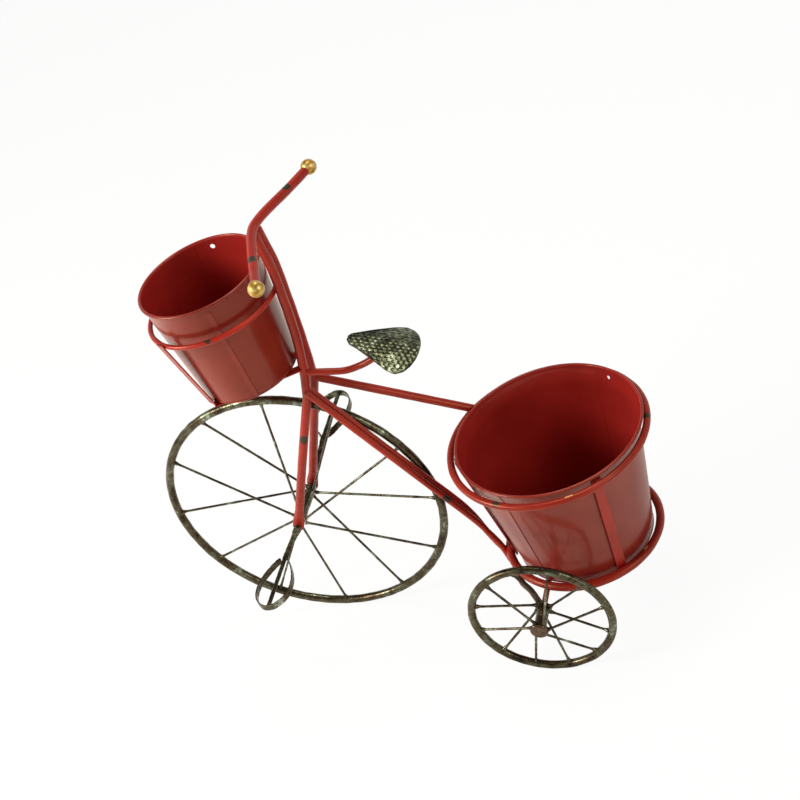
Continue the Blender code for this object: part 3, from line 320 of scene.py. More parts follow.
# Front hub and its twelve spokes: a plain tube on a thin shaft, with straight rods welded
# beside its two ends, six a side, and to the inside of the rim. Each end has a small weld.
def bar(path, half_wide, half_deep=None, across=(0, 1, 0), sides=20):
    """Rows of section points along a path: at section angle a, half_wide cos a to the side and
    half_deep sin a up. The side is square to the path and to the across direction."""
    path = np.asarray(path, float)
    along = unit(np.gradient(path, axis=0))
    side = unit(np.cross(along, across))
    up = np.cross(side, along)
    wide = np.broadcast_to(half_wide, len(path))[:, None, None]
    deep = np.broadcast_to(half_wide if half_deep is None else half_deep, len(path))[:, None, None]
    around = circle(sides)[None, :, None]
    return (path[:, None] + wide * np.cos(around) * side[:, None]
            + deep * np.sin(around) * up[:, None])


def straight(start, stop, count):
    """Evenly spaced points from start to stop."""
    share = np.linspace(0, 1, count)[:, None]
    return np.asarray(start) * (1 - share) + np.asarray(stop) * share


SPOKE_RADIUS = 0.0014
SPOKE_WELD = 0.0011
SPOKE_WELD_LENGTH = 0.0030
SPOKE_DENT = (0.00028, 0.012)
SPOKES_A_SIDE = 6
SPOKE_SKEW = math.radians(24)


def spoke(name, middle, turn, hub_radius, hub_y, rim_radius, seed):
    """A rod from the hub's side, led back by the skew, to the rim. Its radius grows by a bell
    curve at both welds."""
    lead = turn - SPOKE_SKEW
    start = middle + np.array([hub_radius * math.cos(lead), hub_y, hub_radius * math.sin(lead)])
    stop = middle + np.array([rim_radius * math.cos(turn), 0, rim_radius * math.sin(turn)])
    path = straight(start, stop, 70)
    run = np.linalg.norm(path - start, axis=1)
    weld = sum(np.exp(-(gone / SPOKE_WELD_LENGTH) ** 2) for gone in (run, run[-1] - run))
    grid = bar(path, SPOKE_RADIUS + SPOKE_WELD * weld, across=(0.2, 1, 0.1), sides=12)
    return skin(name, dented(grid, *SPOKE_DENT, seed))


def spoke_turn(first, number, side):
    """Where a spoke meets the rim: the far ones lie between the near ones."""
    return first + (2 * number + (side > 0)) * math.pi / SPOKES_A_SIDE


SIDES = (("near", -1), ("far", 1))
FRONT_SPOKE_TURN = math.radians(27)
FRONT_SPOKE_PLACE = 0.0205
HUB_RADIUS = 0.0052
for side_name, side in SIDES:
    for number in range(SPOKES_A_SIDE):
        rod = spoke(f"front_rod_{side_name}_{number + 1}", front_middle,
                    spoke_turn(FRONT_SPOKE_TURN, number, side), HUB_RADIUS + SPOKE_RADIUS / 2,
                    side * FRONT_SPOKE_PLACE, front_radius - front_rod * 0.9, 40 + number)
        dress(rod, wheel_pewter, "front_wheel", "wheel_pewter",
              f"front_spoke_{side_name}_{number + 1}")

hub_middle, hub_half = between("front_hub")
BARREL_HALF = 0.0281
SHAFT_RADIUS = 0.0030
SHAFT_CHAMFER = 0.0008
HUB_CHAMFER = 0.0006
HUB_DENT = (0.0004, 0.009)
hub_radii = [(-hub_half[1], 0.6 * SHAFT_RADIUS), (-hub_half[1] + SHAFT_CHAMFER, SHAFT_RADIUS),
             (-BARREL_HALF, SHAFT_RADIUS), (-BARREL_HALF, 0.9 * HUB_RADIUS),
             (-BARREL_HALF + HUB_CHAMFER, HUB_RADIUS)]
hub_radii += [(y, HUB_RADIUS) for y in np.linspace(-BARREL_HALF * 0.9, BARREL_HALF * 0.9, 30)]
hub_radii += [(-y, radius) for y, radius in reversed(hub_radii[:5])]


def turned(middle, line, sides=36):
    """Rows of circles on an axis along Y, as from a lathe: the line gives the place of each
    along the axis and its radius."""
    line = np.array(line)[:, :, None, None]
    around = circle(sides)[:, None]
    out = np.cos(around) * (1, 0, 0) + np.sin(around) * (0, 0, 1)
    return middle + line[:, 0] * (0, 1, 0) + line[:, 1] * out


front_hub = skin("front_hub_tube", dented(turned(hub_middle, hub_radii), *HUB_DENT, 8))
dress(front_hub, wheel_pewter, "front_wheel", "wheel_pewter", "front_hub")


# Cranks and pedals: each crank is a hammered flat bar with a pin at its end. The pedal is a
# strip bent to a drop round a sleeve on that pin, closed at the crank and round outside.
CRANK_TURNS = (math.radians(-127), math.radians(60))
CRANK_LENGTHS = (0.0500, 0.0680)
CRANK_HALF_DEEP = 0.0020
CRANK_DENT = (0.0005, 0.007)
CRANK_BOSS_RADIUS = 0.0044
CRANK_EYE_RADIUS = 0.0030
CRANK_TAPER = 0.010
PIN_RADIUS = 0.0012
PEDAL_STRIP_HALF = 0.0040
PEDAL_STRIP_THICKNESS = 0.0014
PEDAL_HALF_SHARES = ((0.0, 0.18), (0.05, 0.36), (0.15, 0.56), (0.30, 0.80), (0.45, 0.955),
                     (0.58, 1.0), (0.72, 0.955), (0.84, 0.80), (0.93, 0.55), (0.985, 0.27))
PEDAL_DENT = (0.0005, 0.006)
SLEEVE_RADIUS = 0.0024
SLEEVE_DENT = (0.0004, 0.006)
SLEEVE_INSET = 0.0006
SLEEVE_SHORTER = 0.0016
PEDAL_SPACING = 0.0012


def through(knots, spacing):
    """Points about a spacing apart on a smooth curve through the knots: a cubic in each span
    whose slopes follow the neighbouring knots, measured along and spaced evenly."""
    knots = np.asarray(knots, float)
    ends = np.concatenate([[2 * knots[0] - knots[1]], knots, [2 * knots[-1] - knots[-2]]])
    t = np.linspace(0, 1, 14, endpoint=False)[None, :, None]
    a, b, c, d = (ends[i:len(ends) - 3 + i, None] for i in range(4))
    dense = (2 * b + (c - a) * t + (2 * a - 5 * b + 4 * c - d) * t ** 2
             + (3 * b - a - 3 * c + d) * t ** 3) / 2
    dense = np.concatenate([dense.reshape(-1, 3), knots[-1:]])
    run = np.concatenate([[0], np.cumsum(np.linalg.norm(np.diff(dense, axis=0), axis=1))])
    even = np.linspace(0, run[-1], int(run[-1] / spacing) + 2)
    return np.stack([np.interp(even, run, dense[:, i]) for i in range(3)], 1)


def block_bar(path, half_wide, half_deep, across, corner=0.28, per_side=6):
    """A bar whose section is a rectangle with rounded corners: the superellipse that has
    wide |cos|^corner and deep |sin|^corner, with the signs kept."""
    sides = 4 * per_side
    grid = bar(path, 1.0, 1.0, across, sides)
    middle = np.asarray(path, float)[:, None]
    around = circle(sides)
    side = grid[:, :1] - middle
    up = grid[:, per_side:per_side + 1] - middle
    wide = np.broadcast_to(half_wide, len(path))[:, None, None]
    deep = np.broadcast_to(half_deep, len(path))[:, None, None]
    across_share, up_share = ((np.sign(wave) * np.abs(wave) ** corner)[None, :, None]
                              for wave in (np.cos(around), np.sin(around)))
    return middle + wide * across_share * side + deep * up_share * up


for (side_name, side), turn, length in zip(SIDES, CRANK_TURNS, CRANK_LENGTHS):
    pedal_middle, pedal_half = between("pedal_" + side_name)
    aim = np.array([math.cos(turn), 0, math.sin(turn)])
    boss = front_middle + (0, side * (hub_half[1] - CRANK_HALF_DEEP - 0.0001), 0)
    eye = boss + length * aim
    run = np.linspace(-CRANK_BOSS_RADIUS, length + CRANK_EYE_RADIUS, 60)
    before = np.clip(-run / (CRANK_BOSS_RADIUS + 0.0002), 0, 1)
    after = np.clip((run - length) / (CRANK_EYE_RADIUS + 0.0001), 0, 1)
    half_wide = CRANK_EYE_RADIUS + (CRANK_BOSS_RADIUS - CRANK_EYE_RADIUS) * np.exp(
        -(np.maximum(run, 0) / CRANK_TAPER) ** 2)
    half_wide *= np.sqrt((1 - before ** 2) * (1 - after ** 2))
    arm = skin("crank_bar", dented(block_bar(boss + run[:, None] * aim, half_wide,
                                             CRANK_HALF_DEEP, (0, 1, 0)), *CRANK_DENT, 11))
    pin_path = straight(eye, eye + np.array([0, side * (2 * pedal_half[1] * 0.9), 0]), 20)
    pin = skin("crank_pin", bar(pin_path, PIN_RADIUS, across=(1, 0, 0), sides=12))
    crank = joined("crank_arm_" + side_name, [arm, pin])
    dress(crank, wheel_pewter, "front_wheel", "wheel_pewter", "crank_" + side_name)

    inner_y = pedal_middle[1] - side * pedal_half[1]
    half_line = [(share * pedal_half[0], along) for along, share in PEDAL_HALF_SHARES]
    outline = half_line + [(0, 1.0)] + [(-x, along) for x, along in reversed(half_line)]
    knots = [(pedal_middle[0] + x, inner_y + side * along * 2 * pedal_half[1], pedal_middle[2])
             for x, along in outline]
    line = through(knots, PEDAL_SPACING)
    line[:, 1] -= side * PEDAL_STRIP_THICKNESS / 2 * np.clip(
        np.abs(line[:, 1] - inner_y) / pedal_half[1] - 1, 0, 1)
    strip = skin("strip", dented(block_bar(line, PEDAL_STRIP_THICKNESS / 2, PEDAL_STRIP_HALF,
                                           (0, 0, 1)), *PEDAL_DENT, 17))
    sleeve_start = np.array([pedal_middle[0], inner_y + side * SLEEVE_INSET, pedal_middle[2]])
    sleeve_stop = sleeve_start + np.array([0, side * (2 * pedal_half[1] - SLEEVE_SHORTER), 0])
    sleeve = skin("sleeve", dented(bar(straight(sleeve_start, sleeve_stop, 50), SLEEVE_RADIUS,
                                       across=(1, 0, 0), sides=16), *SLEEVE_DENT, 19))
    pedal = joined("pedal_drop_" + side_name, [strip, sleeve])
    dress(pedal, wheel_pewter, "pedal_" + side_name, "wheel_pewter", "pedal_" + side_name)


# Red enamel on the rods: satin, thick enough to round their edges, and pale where the light
# grazes it. It is chipped on purpose, to black-green steel, and has small gold patches in short
# streaks that are painted glints.
ENAMEL_ROUGHNESS = 0.34
CHIP_RAGGED = 0.0030
GLINT_SHARE = 0.33


def red_enamel(name, deep, fresh, dark_spots, painted_glints, chip_reach, roughness=ENAMEL_ROUGHNESS):
    """Enamel with slow colour drift, fine orange peel, chips and other dark spots at given places,
    and gold painted glints.
    """
    material = new_material(name)
    place = add(material, "TexCoord").outputs["Object"]
    drift = add(material, "TexNoise", Vector=place, Scale=22.0, Detail=3.0, Roughness=0.5)
    base = add(material, "ValToRGB", {"stops": [(0.34, shade(deep)), (0.66, shade(fresh))]},
               Fac=drift.outputs["Fac"])
    ragged = add(material, "TexNoise", Vector=place, Scale=420.0, Detail=2.0)
    shaken = add(material, "VectorMath", {"operation": "MULTIPLY_ADD"},
                 _0=ragged.outputs["Color"], _1=(CHIP_RAGGED,) * 3, _2=place)
    colour = base.outputs["Color"]
    spot_mask = None
    # Gold patches are painted glints. Dark spots are chips to black-green steel, and a dark band on
    # the near rod's end.
    for spots, tint, reach in ((painted_glints, "#c9a060", GLINT_SHARE * chip_reach),
                               (dark_spots, "#23291f", chip_reach)):
        nearest = None
        for spot in spots:
            centre = tuple(value + CHIP_RAGGED / 2 for value in spot)
            apart = add(material, "VectorMath", {"operation": "DISTANCE"},
                        _0=shaken.outputs["Vector"], _1=centre).outputs["Value"]
            nearest = apart if nearest is None else add(
                material, "Math", {"operation": "MINIMUM"}, _0=nearest, _1=apart).outputs[0]
        if nearest is None:
            continue
        inside = add(material, "MapRange", Value=nearest, From_Min=reach * 0.94,
                     From_Max=reach * 1.04, To_Min=1.0, To_Max=0.0).outputs["Result"]
        colour = add(material, "Mix", {"data_type": "RGBA"}, _0=inside, _6=colour,
                     _7=shade(tint)).outputs[2]
        spot_mask = inside
    peel = add(material, "TexNoise", Vector=place, Scale=350.0, Detail=2.0)
    height = peel.outputs["Fac"]
    if spot_mask is not None:
        height = add(material, "Math", {"operation": "MULTIPLY_ADD"}, _0=spot_mask, _1=-1.5,
                     _2=height).outputs[0]
    bump = add(material, "Bump", Strength=0.12, Distance=0.0004, Height=height)
    gloss = add(material, "MapRange", Value=drift.outputs["Fac"], From_Min=0.3, From_Max=0.7,
                To_Min=roughness - 0.04, To_Max=roughness + 0.05)
    principled(material, Base_Color=colour, Roughness=gloss.outputs["Result"],
               Specular_IOR_Level=0.55, Specular_Tint=shade("#ffc0a2"),
               Normal=bump.outputs["Normal"])
    return material


# Fork and stem: a tube on each side, flattened where it holds the shaft, meets the other at the
# crown and runs up beside it. One bent tube, the handlebar, lies across their tops.
TUBE_RADIUS = 0.0046
TUBE_DENT = (0.00025, 0.02)
BEND_SPACING = 0.0025
FORK_HALF_WIDTH = 0.0295
CROWN = front_middle + 0.1634 * np.array([math.sin(math.radians(23.4)), 0,
                                          math.cos(math.radians(23.4))])
CROWN_HALF_WIDTH = 0.0139
STEM_RISE = np.array([0.0199, 0, 0.1934])
STEM_HALF_GAP = TUBE_RADIUS + 0.00015
LEG_SPREAD_SHARES = ((0.0, 1.0), (0.1, 0.90), (0.2, 0.85), (0.4, 0.73), (0.6, 0.56), (0.8, 0.32),
                     (0.9, 0.16))
STEM_SHARES = ((0.0, 0.0, 1.0), (0.054, 0.155, 0.87), (0.154, 0.376, 0.51), (0.308, 0.641, 0.17),
               (0.452, 0.818, 0.03), (0.633, 0.984, 0.0), (0.778, 1.083, 0.0), (0.885, 1.045, 0.0),
               (0.987, 1.005, 0.0))
BAR_HALF_WIDTH = 0.0912
BAR_SWEEP = 0.0287
BAR_DROP = 0.0030
BAR_SHARES = ((0.11, 0.042, 0.03), (0.241, 0.153, 0.17), (0.395, 0.307, 0.47), (0.57, 0.495, 0.87),
              (0.768, 0.721, 1.1), (0.985, 0.985, 1.0))
LEG_END = 0.0065


def fork_knots(side):
    """The points that a fork tube is bent through, from below the shaft to the stem's top."""
    leg = CROWN - front_middle
    end_share = -LEG_END / np.linalg.norm(leg)
    knots = [front_middle + end_share * leg + (0, side * FORK_HALF_WIDTH, 0)]
    for up, spread in LEG_SPREAD_SHARES:
        half = CROWN_HALF_WIDTH + spread * (FORK_HALF_WIDTH - CROWN_HALF_WIDTH)
        knots.append(front_middle + up * leg + (0, side * half, 0))
    for up, back, spread in STEM_SHARES:
        half = STEM_HALF_GAP + spread * (CROWN_HALF_WIDTH - STEM_HALF_GAP)
        knots.append(CROWN + STEM_RISE * (back, 0, up) + (0, side * half, 0))
    return knots


fork_enamel = red_enamel(
    "satin red enamel on bent tube", "#8a1812", "#9f221a",
    [(-0.0152, -0.0520, 0.4945), (-0.0135, 0.0570, 0.4943), (-0.0660, -0.0245, 0.2590)],
    [], 0.0047)
DROPOUT_HALF_WIDE = 0.0062
DROPOUT_HALF_DEEP = 0.0019
FLAT_TOP = 0.0225
FLAT_RUN = 0.0180
TIP_RUN = 0.0060
COPE_RUN = 0.0040
fork_paths = {}
for side_name, side in SIDES:
    path = through(fork_knots(side), BEND_SPACING)
    fork_paths[side_name] = path
    height = path[:, 2] - front_middle[2]
    flat = np.clip((FLAT_TOP - height) / FLAT_RUN, 0, 1)
    flat = flat ** 2 * (3 - 2 * flat)
    tip = np.clip((-height - 0.0005) / TIP_RUN, 0, 1)
    top = np.clip((path[:, 2] - path[-1, 2]) / COPE_RUN + 1, 0, 1)
    wide = (TUBE_RADIUS + flat * (DROPOUT_HALF_WIDE - TUBE_RADIUS)) * np.sqrt(1 - 0.93 * tip ** 2)
    deep = TUBE_RADIUS + flat * (DROPOUT_HALF_DEEP - TUBE_RADIUS)
    ease = np.sqrt(1 - 0.4 * top ** 2)
    tube = skin("fork_bar_" + side_name, dented(bar(path, deep * ease, wide * ease, (1, 0, 0), 24),
                                                *TUBE_DENT, 5))
    dress(tube, fork_enamel, "root", "frame_enamel", "fork_tube_" + side_name)

half_bar = [CROWN + STEM_RISE + (back * BAR_SWEEP, out * BAR_HALF_WIDTH, -drop * BAR_DROP)
            for out, back, drop in BAR_SHARES]
bar_knots = [knot * (1, -1, 1) for knot in reversed(half_bar)] + [CROWN + STEM_RISE] + half_bar
handlebar = skin("handlebar_tube", dented(bar(through(bar_knots, BEND_SPACING), TUBE_RADIUS,
                                              across=(1, 0, 0), sides=24), *TUBE_DENT, 4))
dress(handlebar, fork_enamel, "root", "frame_enamel", "handlebar")


# Brass balls on the handlebar's ends: solid brass, hammered into small flats and lacquered, so
# that they gleam in soft broken patches and not like a mirror.
BALL_DENT_SHARE = 0.05


def ball_grid(middle, radius, seed):
    """A sphere by latitude and longitude, its radius less a soft cell pattern of hammer flats."""
    down = np.linspace(0.02, np.pi - 0.02, 40)[:, None]
    turn = circle(56)[None, :]
    out = np.stack([np.sin(down) * np.cos(turn), np.sin(down) * np.sin(turn),
                    np.cos(down) + 0 * turn], -1)
    draw = np.random.default_rng(seed)
    blows = unit(draw.normal(size=(60, 3)))
    near = (out @ blows.T).max(-1)
    cells = (near - near.min()) / (near.max() - near.min())
    return middle + radius * (1 - BALL_DENT_SHARE * cells)[..., None] * out


hammered_brass = new_material("lacquered hammered brass")
brass_place = add(hammered_brass, "TexCoord").outputs["Object"]
brass_noise = add(hammered_brass, "TexNoise", Vector=brass_place, Scale=240.0, Detail=2.0)
brass_colour = add(hammered_brass, "ValToRGB", {"stops": [
    (0.35, shade("#a37c38")), (0.5, shade("#c9a558")), (0.62, shade("#dcc184"))]},
    Fac=brass_noise.outputs["Fac"])
brass_bump = add(hammered_brass, "Bump", Strength=0.25, Distance=0.0005,
                 Height=brass_noise.outputs["Fac"])
principled(hammered_brass, Base_Color=brass_colour.outputs["Color"], Metallic=1.0, Roughness=0.42,
           Normal=brass_bump.outputs["Normal"])
for side_name, side in SIDES:
    middle, half = between("handlebar_ball_" + side_name)
    ball = skin("grip_ball_" + side_name, ball_grid(middle, half[0], 21 + side))
    dress(ball, hammered_brass, "root", "ball_brass", "handlebar_ball_" + side_name)


# Backbone: two rods laid side by side. They leave the near fork tube, pass the front wheel,
# bend in front of the rear basket and part under it to the two ends of the axle.
ROD_RADIUS = 0.0033
ROD_DENT = (0.0002, 0.02)
ROD_START_RISE = 0.011
KNEE_AHEAD = 0.0227
KNEE_RISE = 0.0422
ROD_INNER_Y = -0.0090
ROD_OUTER_Y = -0.0159
lower_middle, lower_half = between("rear_basket_lower_ring")
axle_middle, axle_half = between("rear_axle")
lower_rod = lower_half[2]
lower_radius = lower_half[0] - lower_rod
ring_front = lower_middle[0] - lower_radius
HUB_INNER = 0.0934
UNDER_RING_GAP = 0.0003
NEAR_BEND_SHARES = ((-0.299, 0.215, 0.627), (-0.138, 0.234, 0.321), (-0.043, 0.267, 0.098),
                    (0.041, 0.332, 0.006), (0.17, 0.423, 0.0))
FAR_BEND_SHARES = ((-0.37, -0.125, 0.475), (-0.224, -0.137, 0.146), (-0.108, -0.124, -0.008),
                   (0.041, 0.013, 0.0), (0.17, 0.234, 0.0))
REAR_FORK_SHARES = ((0.26, 0.467), (0.41, 0.624), (0.64, 0.75), (0.873, 0.918))
under_ring = lower_middle[2] - lower_rod - UNDER_RING_GAP - ROD_RADIUS


def stem_place(height, side_name):
    """Where a fork tube is at a height above the crown."""
    path = fork_paths[side_name]
    stem = path[(path[:, 2] > front_middle[2]) & (path[:, 2] < CROWN[2] + 0.16)]
    return np.array([np.interp(CROWN[2] + height, stem[:, 2], stem[:, i]) for i in range(3)])


def backbone_knots(start_y, side, straight_share, bend_shares):
    """The points of one rod of the backbone, from the fork tube to the axle's end."""
    start = stem_place(ROD_START_RISE, "near")
    start[1] = start_y
    knee = np.array([ring_front - KNEE_AHEAD, start_y, lower_middle[2] + KNEE_RISE])
    knots = [start + straight_share * third / 3 * (knee - start) for third in range(4)]
    run = axle_middle[0] - ring_front
    for along, out, high in bend_shares:
        knots.append((ring_front + along * run, side * out * lower_radius,
                      under_ring + high * (knee[2] - under_ring)))
    for along, out in REAR_FORK_SHARES:
        knots.append((ring_front + along * run, side * out * HUB_INNER, under_ring))
    return knots


# The near rod's last part is coloured near-black: a row of overlapping dark spots in the chip colour
# runs along it.
dark_end_shares = np.linspace(0.36, 0.86, 6)
dark_end_places = [
    (ring_front + along * (axle_middle[0] - ring_front), -out * HUB_INNER, under_ring + ROD_RADIUS)
    for along, out in zip(dark_end_shares, np.interp(dark_end_shares, *zip(*REAR_FORK_SHARES)))]
rod_enamel = red_enamel(
    "satin red enamel on twin rods", "#8e2017", "#a32b1f",
    [(0.0480, -0.0185, 0.1565)] + dark_end_places, [], 0.0046)
for side_name, knots in (("near", backbone_knots(ROD_OUTER_Y, -1, 1.0, NEAR_BEND_SHARES)),
                         ("far", backbone_knots(ROD_INNER_Y, 1, 0.925, FAR_BEND_SHARES))):
    rod = skin("backbone_bar_" + side_name,
               dented(bar(through(knots, BEND_SPACING), ROD_RADIUS, across=(0.3, 1, 0.2)),
                      *ROD_DENT, 6))
    dress(rod, rod_enamel, "root", "frame_enamel", "backbone_rod_" + side_name)


# Top bar and saddle post: the bar runs straight from the far tube to the basket's upper ring,
# the post leaves the near tube, sags a little and curls up under the saddle.
upper_middle, upper_half = between("rear_basket_upper_ring")
upper_rod = upper_half[2]
upper_radius = upper_half[0] - upper_rod
TOP_BAR_RADIUS = 0.0043
TOP_BAR_RISE = 0.0054
TOP_BAR_BEHIND = 0.002
TOP_BAR_TURN = math.radians(148.6)
bar_start = stem_place(TOP_BAR_RISE, "far") + (TOP_BAR_BEHIND, 0, 0)
bar_stop = upper_middle + upper_radius * np.array([math.cos(TOP_BAR_TURN),
                                                   math.sin(TOP_BAR_TURN), 0])
top_bar = skin("top_tube", dented(bar(straight(bar_start, bar_stop, 60), TOP_BAR_RADIUS),
                                  *ROD_DENT, 9))
dress(top_bar, rod_enamel, "root", "frame_enamel", "top_bar")

SADDLE_SHARES = ((0.0, 0.08, 1.0), (0.04, 0.22, 0.96), (0.15, 0.335, 0.86), (0.30, 0.535, 0.70),
                 (0.45, 0.73, 0.546), (0.60, 0.93, 0.416), (0.72, 1.0, 0.31), (0.84, 0.87, 0.18),
                 (0.93, 0.63, 0.08), (0.98, 0.375, 0.02), (1.0, 0.13, 0.0))
SADDLE_NOSE_LIFT = 0.0234
SADDLE_WING_DROP = 0.0080
SADDLE_SHEET = 0.0022
saddle_middle, saddle_half = between("saddle")
saddle_nose = saddle_middle - (saddle_half[0], 0, 0)
saddle_base = CROWN[2] + 0.0338
POST_RADIUS = 0.0035
POST_REACH = 0.0840
POST_RISE = 0.030
POST_GAP = 0.0012
POST_BEHIND = 0.0023
POST_SHARES = ((0.21, 0.80, -0.042), (0.42, 0.32, -0.105), (0.61, 0.04, -0.085),
               (0.755, 0.0, -0.03), (0.89, 0.0, 0.042))
post_start = stem_place(POST_RISE, "near") + (POST_BEHIND, 0, 0)
seat_x = post_start[0] + POST_REACH
seat_share = (seat_x - saddle_nose[0]) / (2 * saddle_half[0])
saddle_table = np.array(SADDLE_SHARES)
seat_lift = np.interp(seat_share, saddle_table[:, 0], saddle_table[:, 2]) * SADDLE_NOSE_LIFT
post_knots = [post_start]
for along, aside, sag in POST_SHARES:
    post_knots.append((post_start[0] + along * POST_REACH, aside * post_start[1],
                       post_start[2] + sag * POST_REACH))
post_knots.append((seat_x, 0, saddle_base - SADDLE_SHEET - POST_GAP + seat_lift))
post = skin("saddle_stalk", dented(bar(through(post_knots, BEND_SPACING), POST_RADIUS),
                                   *ROD_DENT, 12))
dress(post, rod_enamel, "root", "frame_enamel", "saddle_post")


# Saddle: one sheet, cut to a pear, dished at the nose, drooping at the wings and hammered all
# over. Its colour is a dark olive coat mottled at about the hammer spacing; the pale flecks in it
# are painted highlights of the hammered facets.
SADDLE_ROWS = 150
SADDLE_COLUMNS = 110
HAMMER_SPACING = 0.0048
HAMMER_DEPTH = 0.00060
rows = 0.5 - 0.5 * np.cos(np.linspace(0.04, np.pi - 0.04, SADDLE_ROWS))
half_share = np.interp(rows, saddle_table[:, 0], saddle_table[:, 1])
lift_share = np.interp(rows, saddle_table[:, 0], saddle_table[:, 2])
for _ in range(6):
    half_share[1:-1] = (half_share[:-2] + 2 * half_share[1:-1] + half_share[2:]) / 4
    lift_share[1:-1] = (lift_share[:-2] + 2 * lift_share[1:-1] + lift_share[2:]) / 4
across_share = np.linspace(-1, 1, SADDLE_COLUMNS)[None, :] * half_share[:, None]
top = np.stack([
    saddle_nose[0] + rows[:, None] * 2 * saddle_half[0] + 0 * across_share,
    across_share * saddle_half[1],
    saddle_base + lift_share[:, None] * SADDLE_NOSE_LIFT
    - SADDLE_WING_DROP * across_share ** 2 * (0.35 + 0.65 * rows[:, None])], -1)
hammer = np.random.default_rng(7)
mesh_x, mesh_y = np.meshgrid(np.arange(-2, 22), np.arange(-11, 12))
blows = np.stack([saddle_nose[0] + (mesh_x + 0.5 * (mesh_y % 2)) * HAMMER_SPACING,
                  mesh_y * HAMMER_SPACING * 0.87], -1).reshape(-1, 2)
blows += hammer.uniform(-0.16, 0.16, blows.shape) * HAMMER_SPACING
apart = np.linalg.norm(top[:, :, None, :2] - blows[None, None], axis=-1)
nearest = np.sort(apart, axis=-1)[..., :2]
ridge = np.clip((nearest[..., 1] - nearest[..., 0]) / (0.8 * HAMMER_SPACING), 0, 1)
edge_fade = np.clip((1 - np.abs(np.linspace(-1, 1, SADDLE_COLUMNS)))[None, :] * 12, 0, 1)
pressed = HAMMER_DEPTH * ridge ** 0.7 * edge_fade
top[..., 2] -= pressed
under = top[:, ::-1] - (0, 0, SADDLE_SHEET)
under[..., 2] += pressed[:, ::-1]
saddle_pewter = new_material("antiqued pewter on hammered sheet")
saddle_place = add(saddle_pewter, "TexCoord").outputs["Object"]
saddle_cells = add(saddle_pewter, "TexNoise", Vector=saddle_place, Scale=210.0, Detail=3.0)
saddle_drift = add(saddle_pewter, "TexNoise", Vector=saddle_place, Scale=45.0, Detail=3.0)
saddle_tone = add(saddle_pewter, "Math", {"operation": "MULTIPLY_ADD"},
                  _0=saddle_cells.outputs["Fac"], _1=0.6,
                  _2=add(saddle_pewter, "Math", {"operation": "MULTIPLY"},
                         _0=saddle_drift.outputs["Fac"], _1=0.4).outputs[0])
# The pale stops are painted highlights of the hammer facets; the dark stops are the coat.
saddle_colour = add(saddle_pewter, "ValToRGB", {"stops": [
    (0.40, shade("#25271e")), (0.50, shade("#4f523c")), (0.58, shade("#6a7058")),
    (0.68, shade("#aeb6a2"))]}, Fac=saddle_tone.outputs[0])
saddle_bump = add(saddle_pewter, "Bump", Strength=0.15, Distance=0.0005,
                  Height=saddle_cells.outputs["Fac"])
principled(saddle_pewter, Base_Color=saddle_colour.outputs["Color"], Metallic=0.85, Roughness=0.30,
           Normal=saddle_bump.outputs["Normal"])
saddle = skin("saddle_sheet", np.concatenate([top, under], 1))
dress(saddle, saddle_pewter, "root", "saddle_pewter", "saddle")


# Rear basket: two rings of round rod, three flat strips inside them and the axle under the
# lower ring. The enamel on the rings has small gold patches that are painted glints.
def on_ring(middle, radius, degrees, up):
    """A place on a level ring of rod: at a turn from +X, and up from the rod's middle."""
    turn = math.radians(degrees)
    return tuple(middle + (radius * math.cos(turn), radius * math.sin(turn), up))


ring_enamel = red_enamel(
    "satin red enamel on basket rings", "#80180f", "#96251a",
    [on_ring(upper_middle, upper_radius, degrees, upper_rod * 0.8) for degrees in (-111, 5)],
    # Gold patches on both rings: painted glints.
    [on_ring(upper_middle, upper_radius, degrees, upper_rod)
     for degrees in (-70.5, -69.5, -68.4, -67.4)]
    + [on_ring(lower_middle, lower_radius, degrees, lower_rod) for degrees in (-29, -28, -27)],
    0.0036)
RING_DENT = (0.0003, 0.02)
for level, middle, radius, rod, steps, seed in (
        ("upper", upper_middle, upper_radius, upper_rod, 300, 14),
        ("lower", lower_middle, lower_radius, lower_rod, 260, 15)):
    ring = skin(f"rear_{level}_hoop", dented(hoop(middle, radius, rod, (0, 0, 1), steps),
                                             *RING_DENT, seed), loop=True)
    dress(ring, ring_enamel, "root", "frame_enamel", f"rear_basket_{level}_ring")

STRIP_TURNS = (math.radians(-51), math.radians(-163.5), math.radians(70))
STRIP_HALF_WIDE = 0.0050
STRIP_THICKNESS = 0.0018
STRIP_GAP = 0.0006
STRIP_DENT = (0.0002, 0.03)
FLAT_CORNER = 0.2
strip_enamel = red_enamel("satin red enamel on flat strip", "#8a1812", "#9f221a", [], [], 0,
                          roughness=0.36)
for number, turn in enumerate(STRIP_TURNS, start=1):
    out = np.array([math.cos(turn), math.sin(turn), 0])
    aside = np.array([-math.sin(turn), math.cos(turn), 0])
    foot = lower_middle + out * (lower_radius - lower_rod - STRIP_THICKNESS / 2 - STRIP_GAP)
    head = upper_middle + out * (upper_radius - upper_rod - STRIP_THICKNESS / 2 - STRIP_GAP)
    path = straight(foot - (0, 0, lower_rod * 0.6), head + (0, 0, upper_rod * 0.6), 50)
    strip = skin(f"rear_flat_{number}", dented(
        block_bar(path, STRIP_THICKNESS / 2, STRIP_HALF_WIDE, aside, FLAT_CORNER),
        *STRIP_DENT, 16))
    dress(strip, strip_enamel, "root", "frame_enamel", f"rear_basket_strip_{number}")

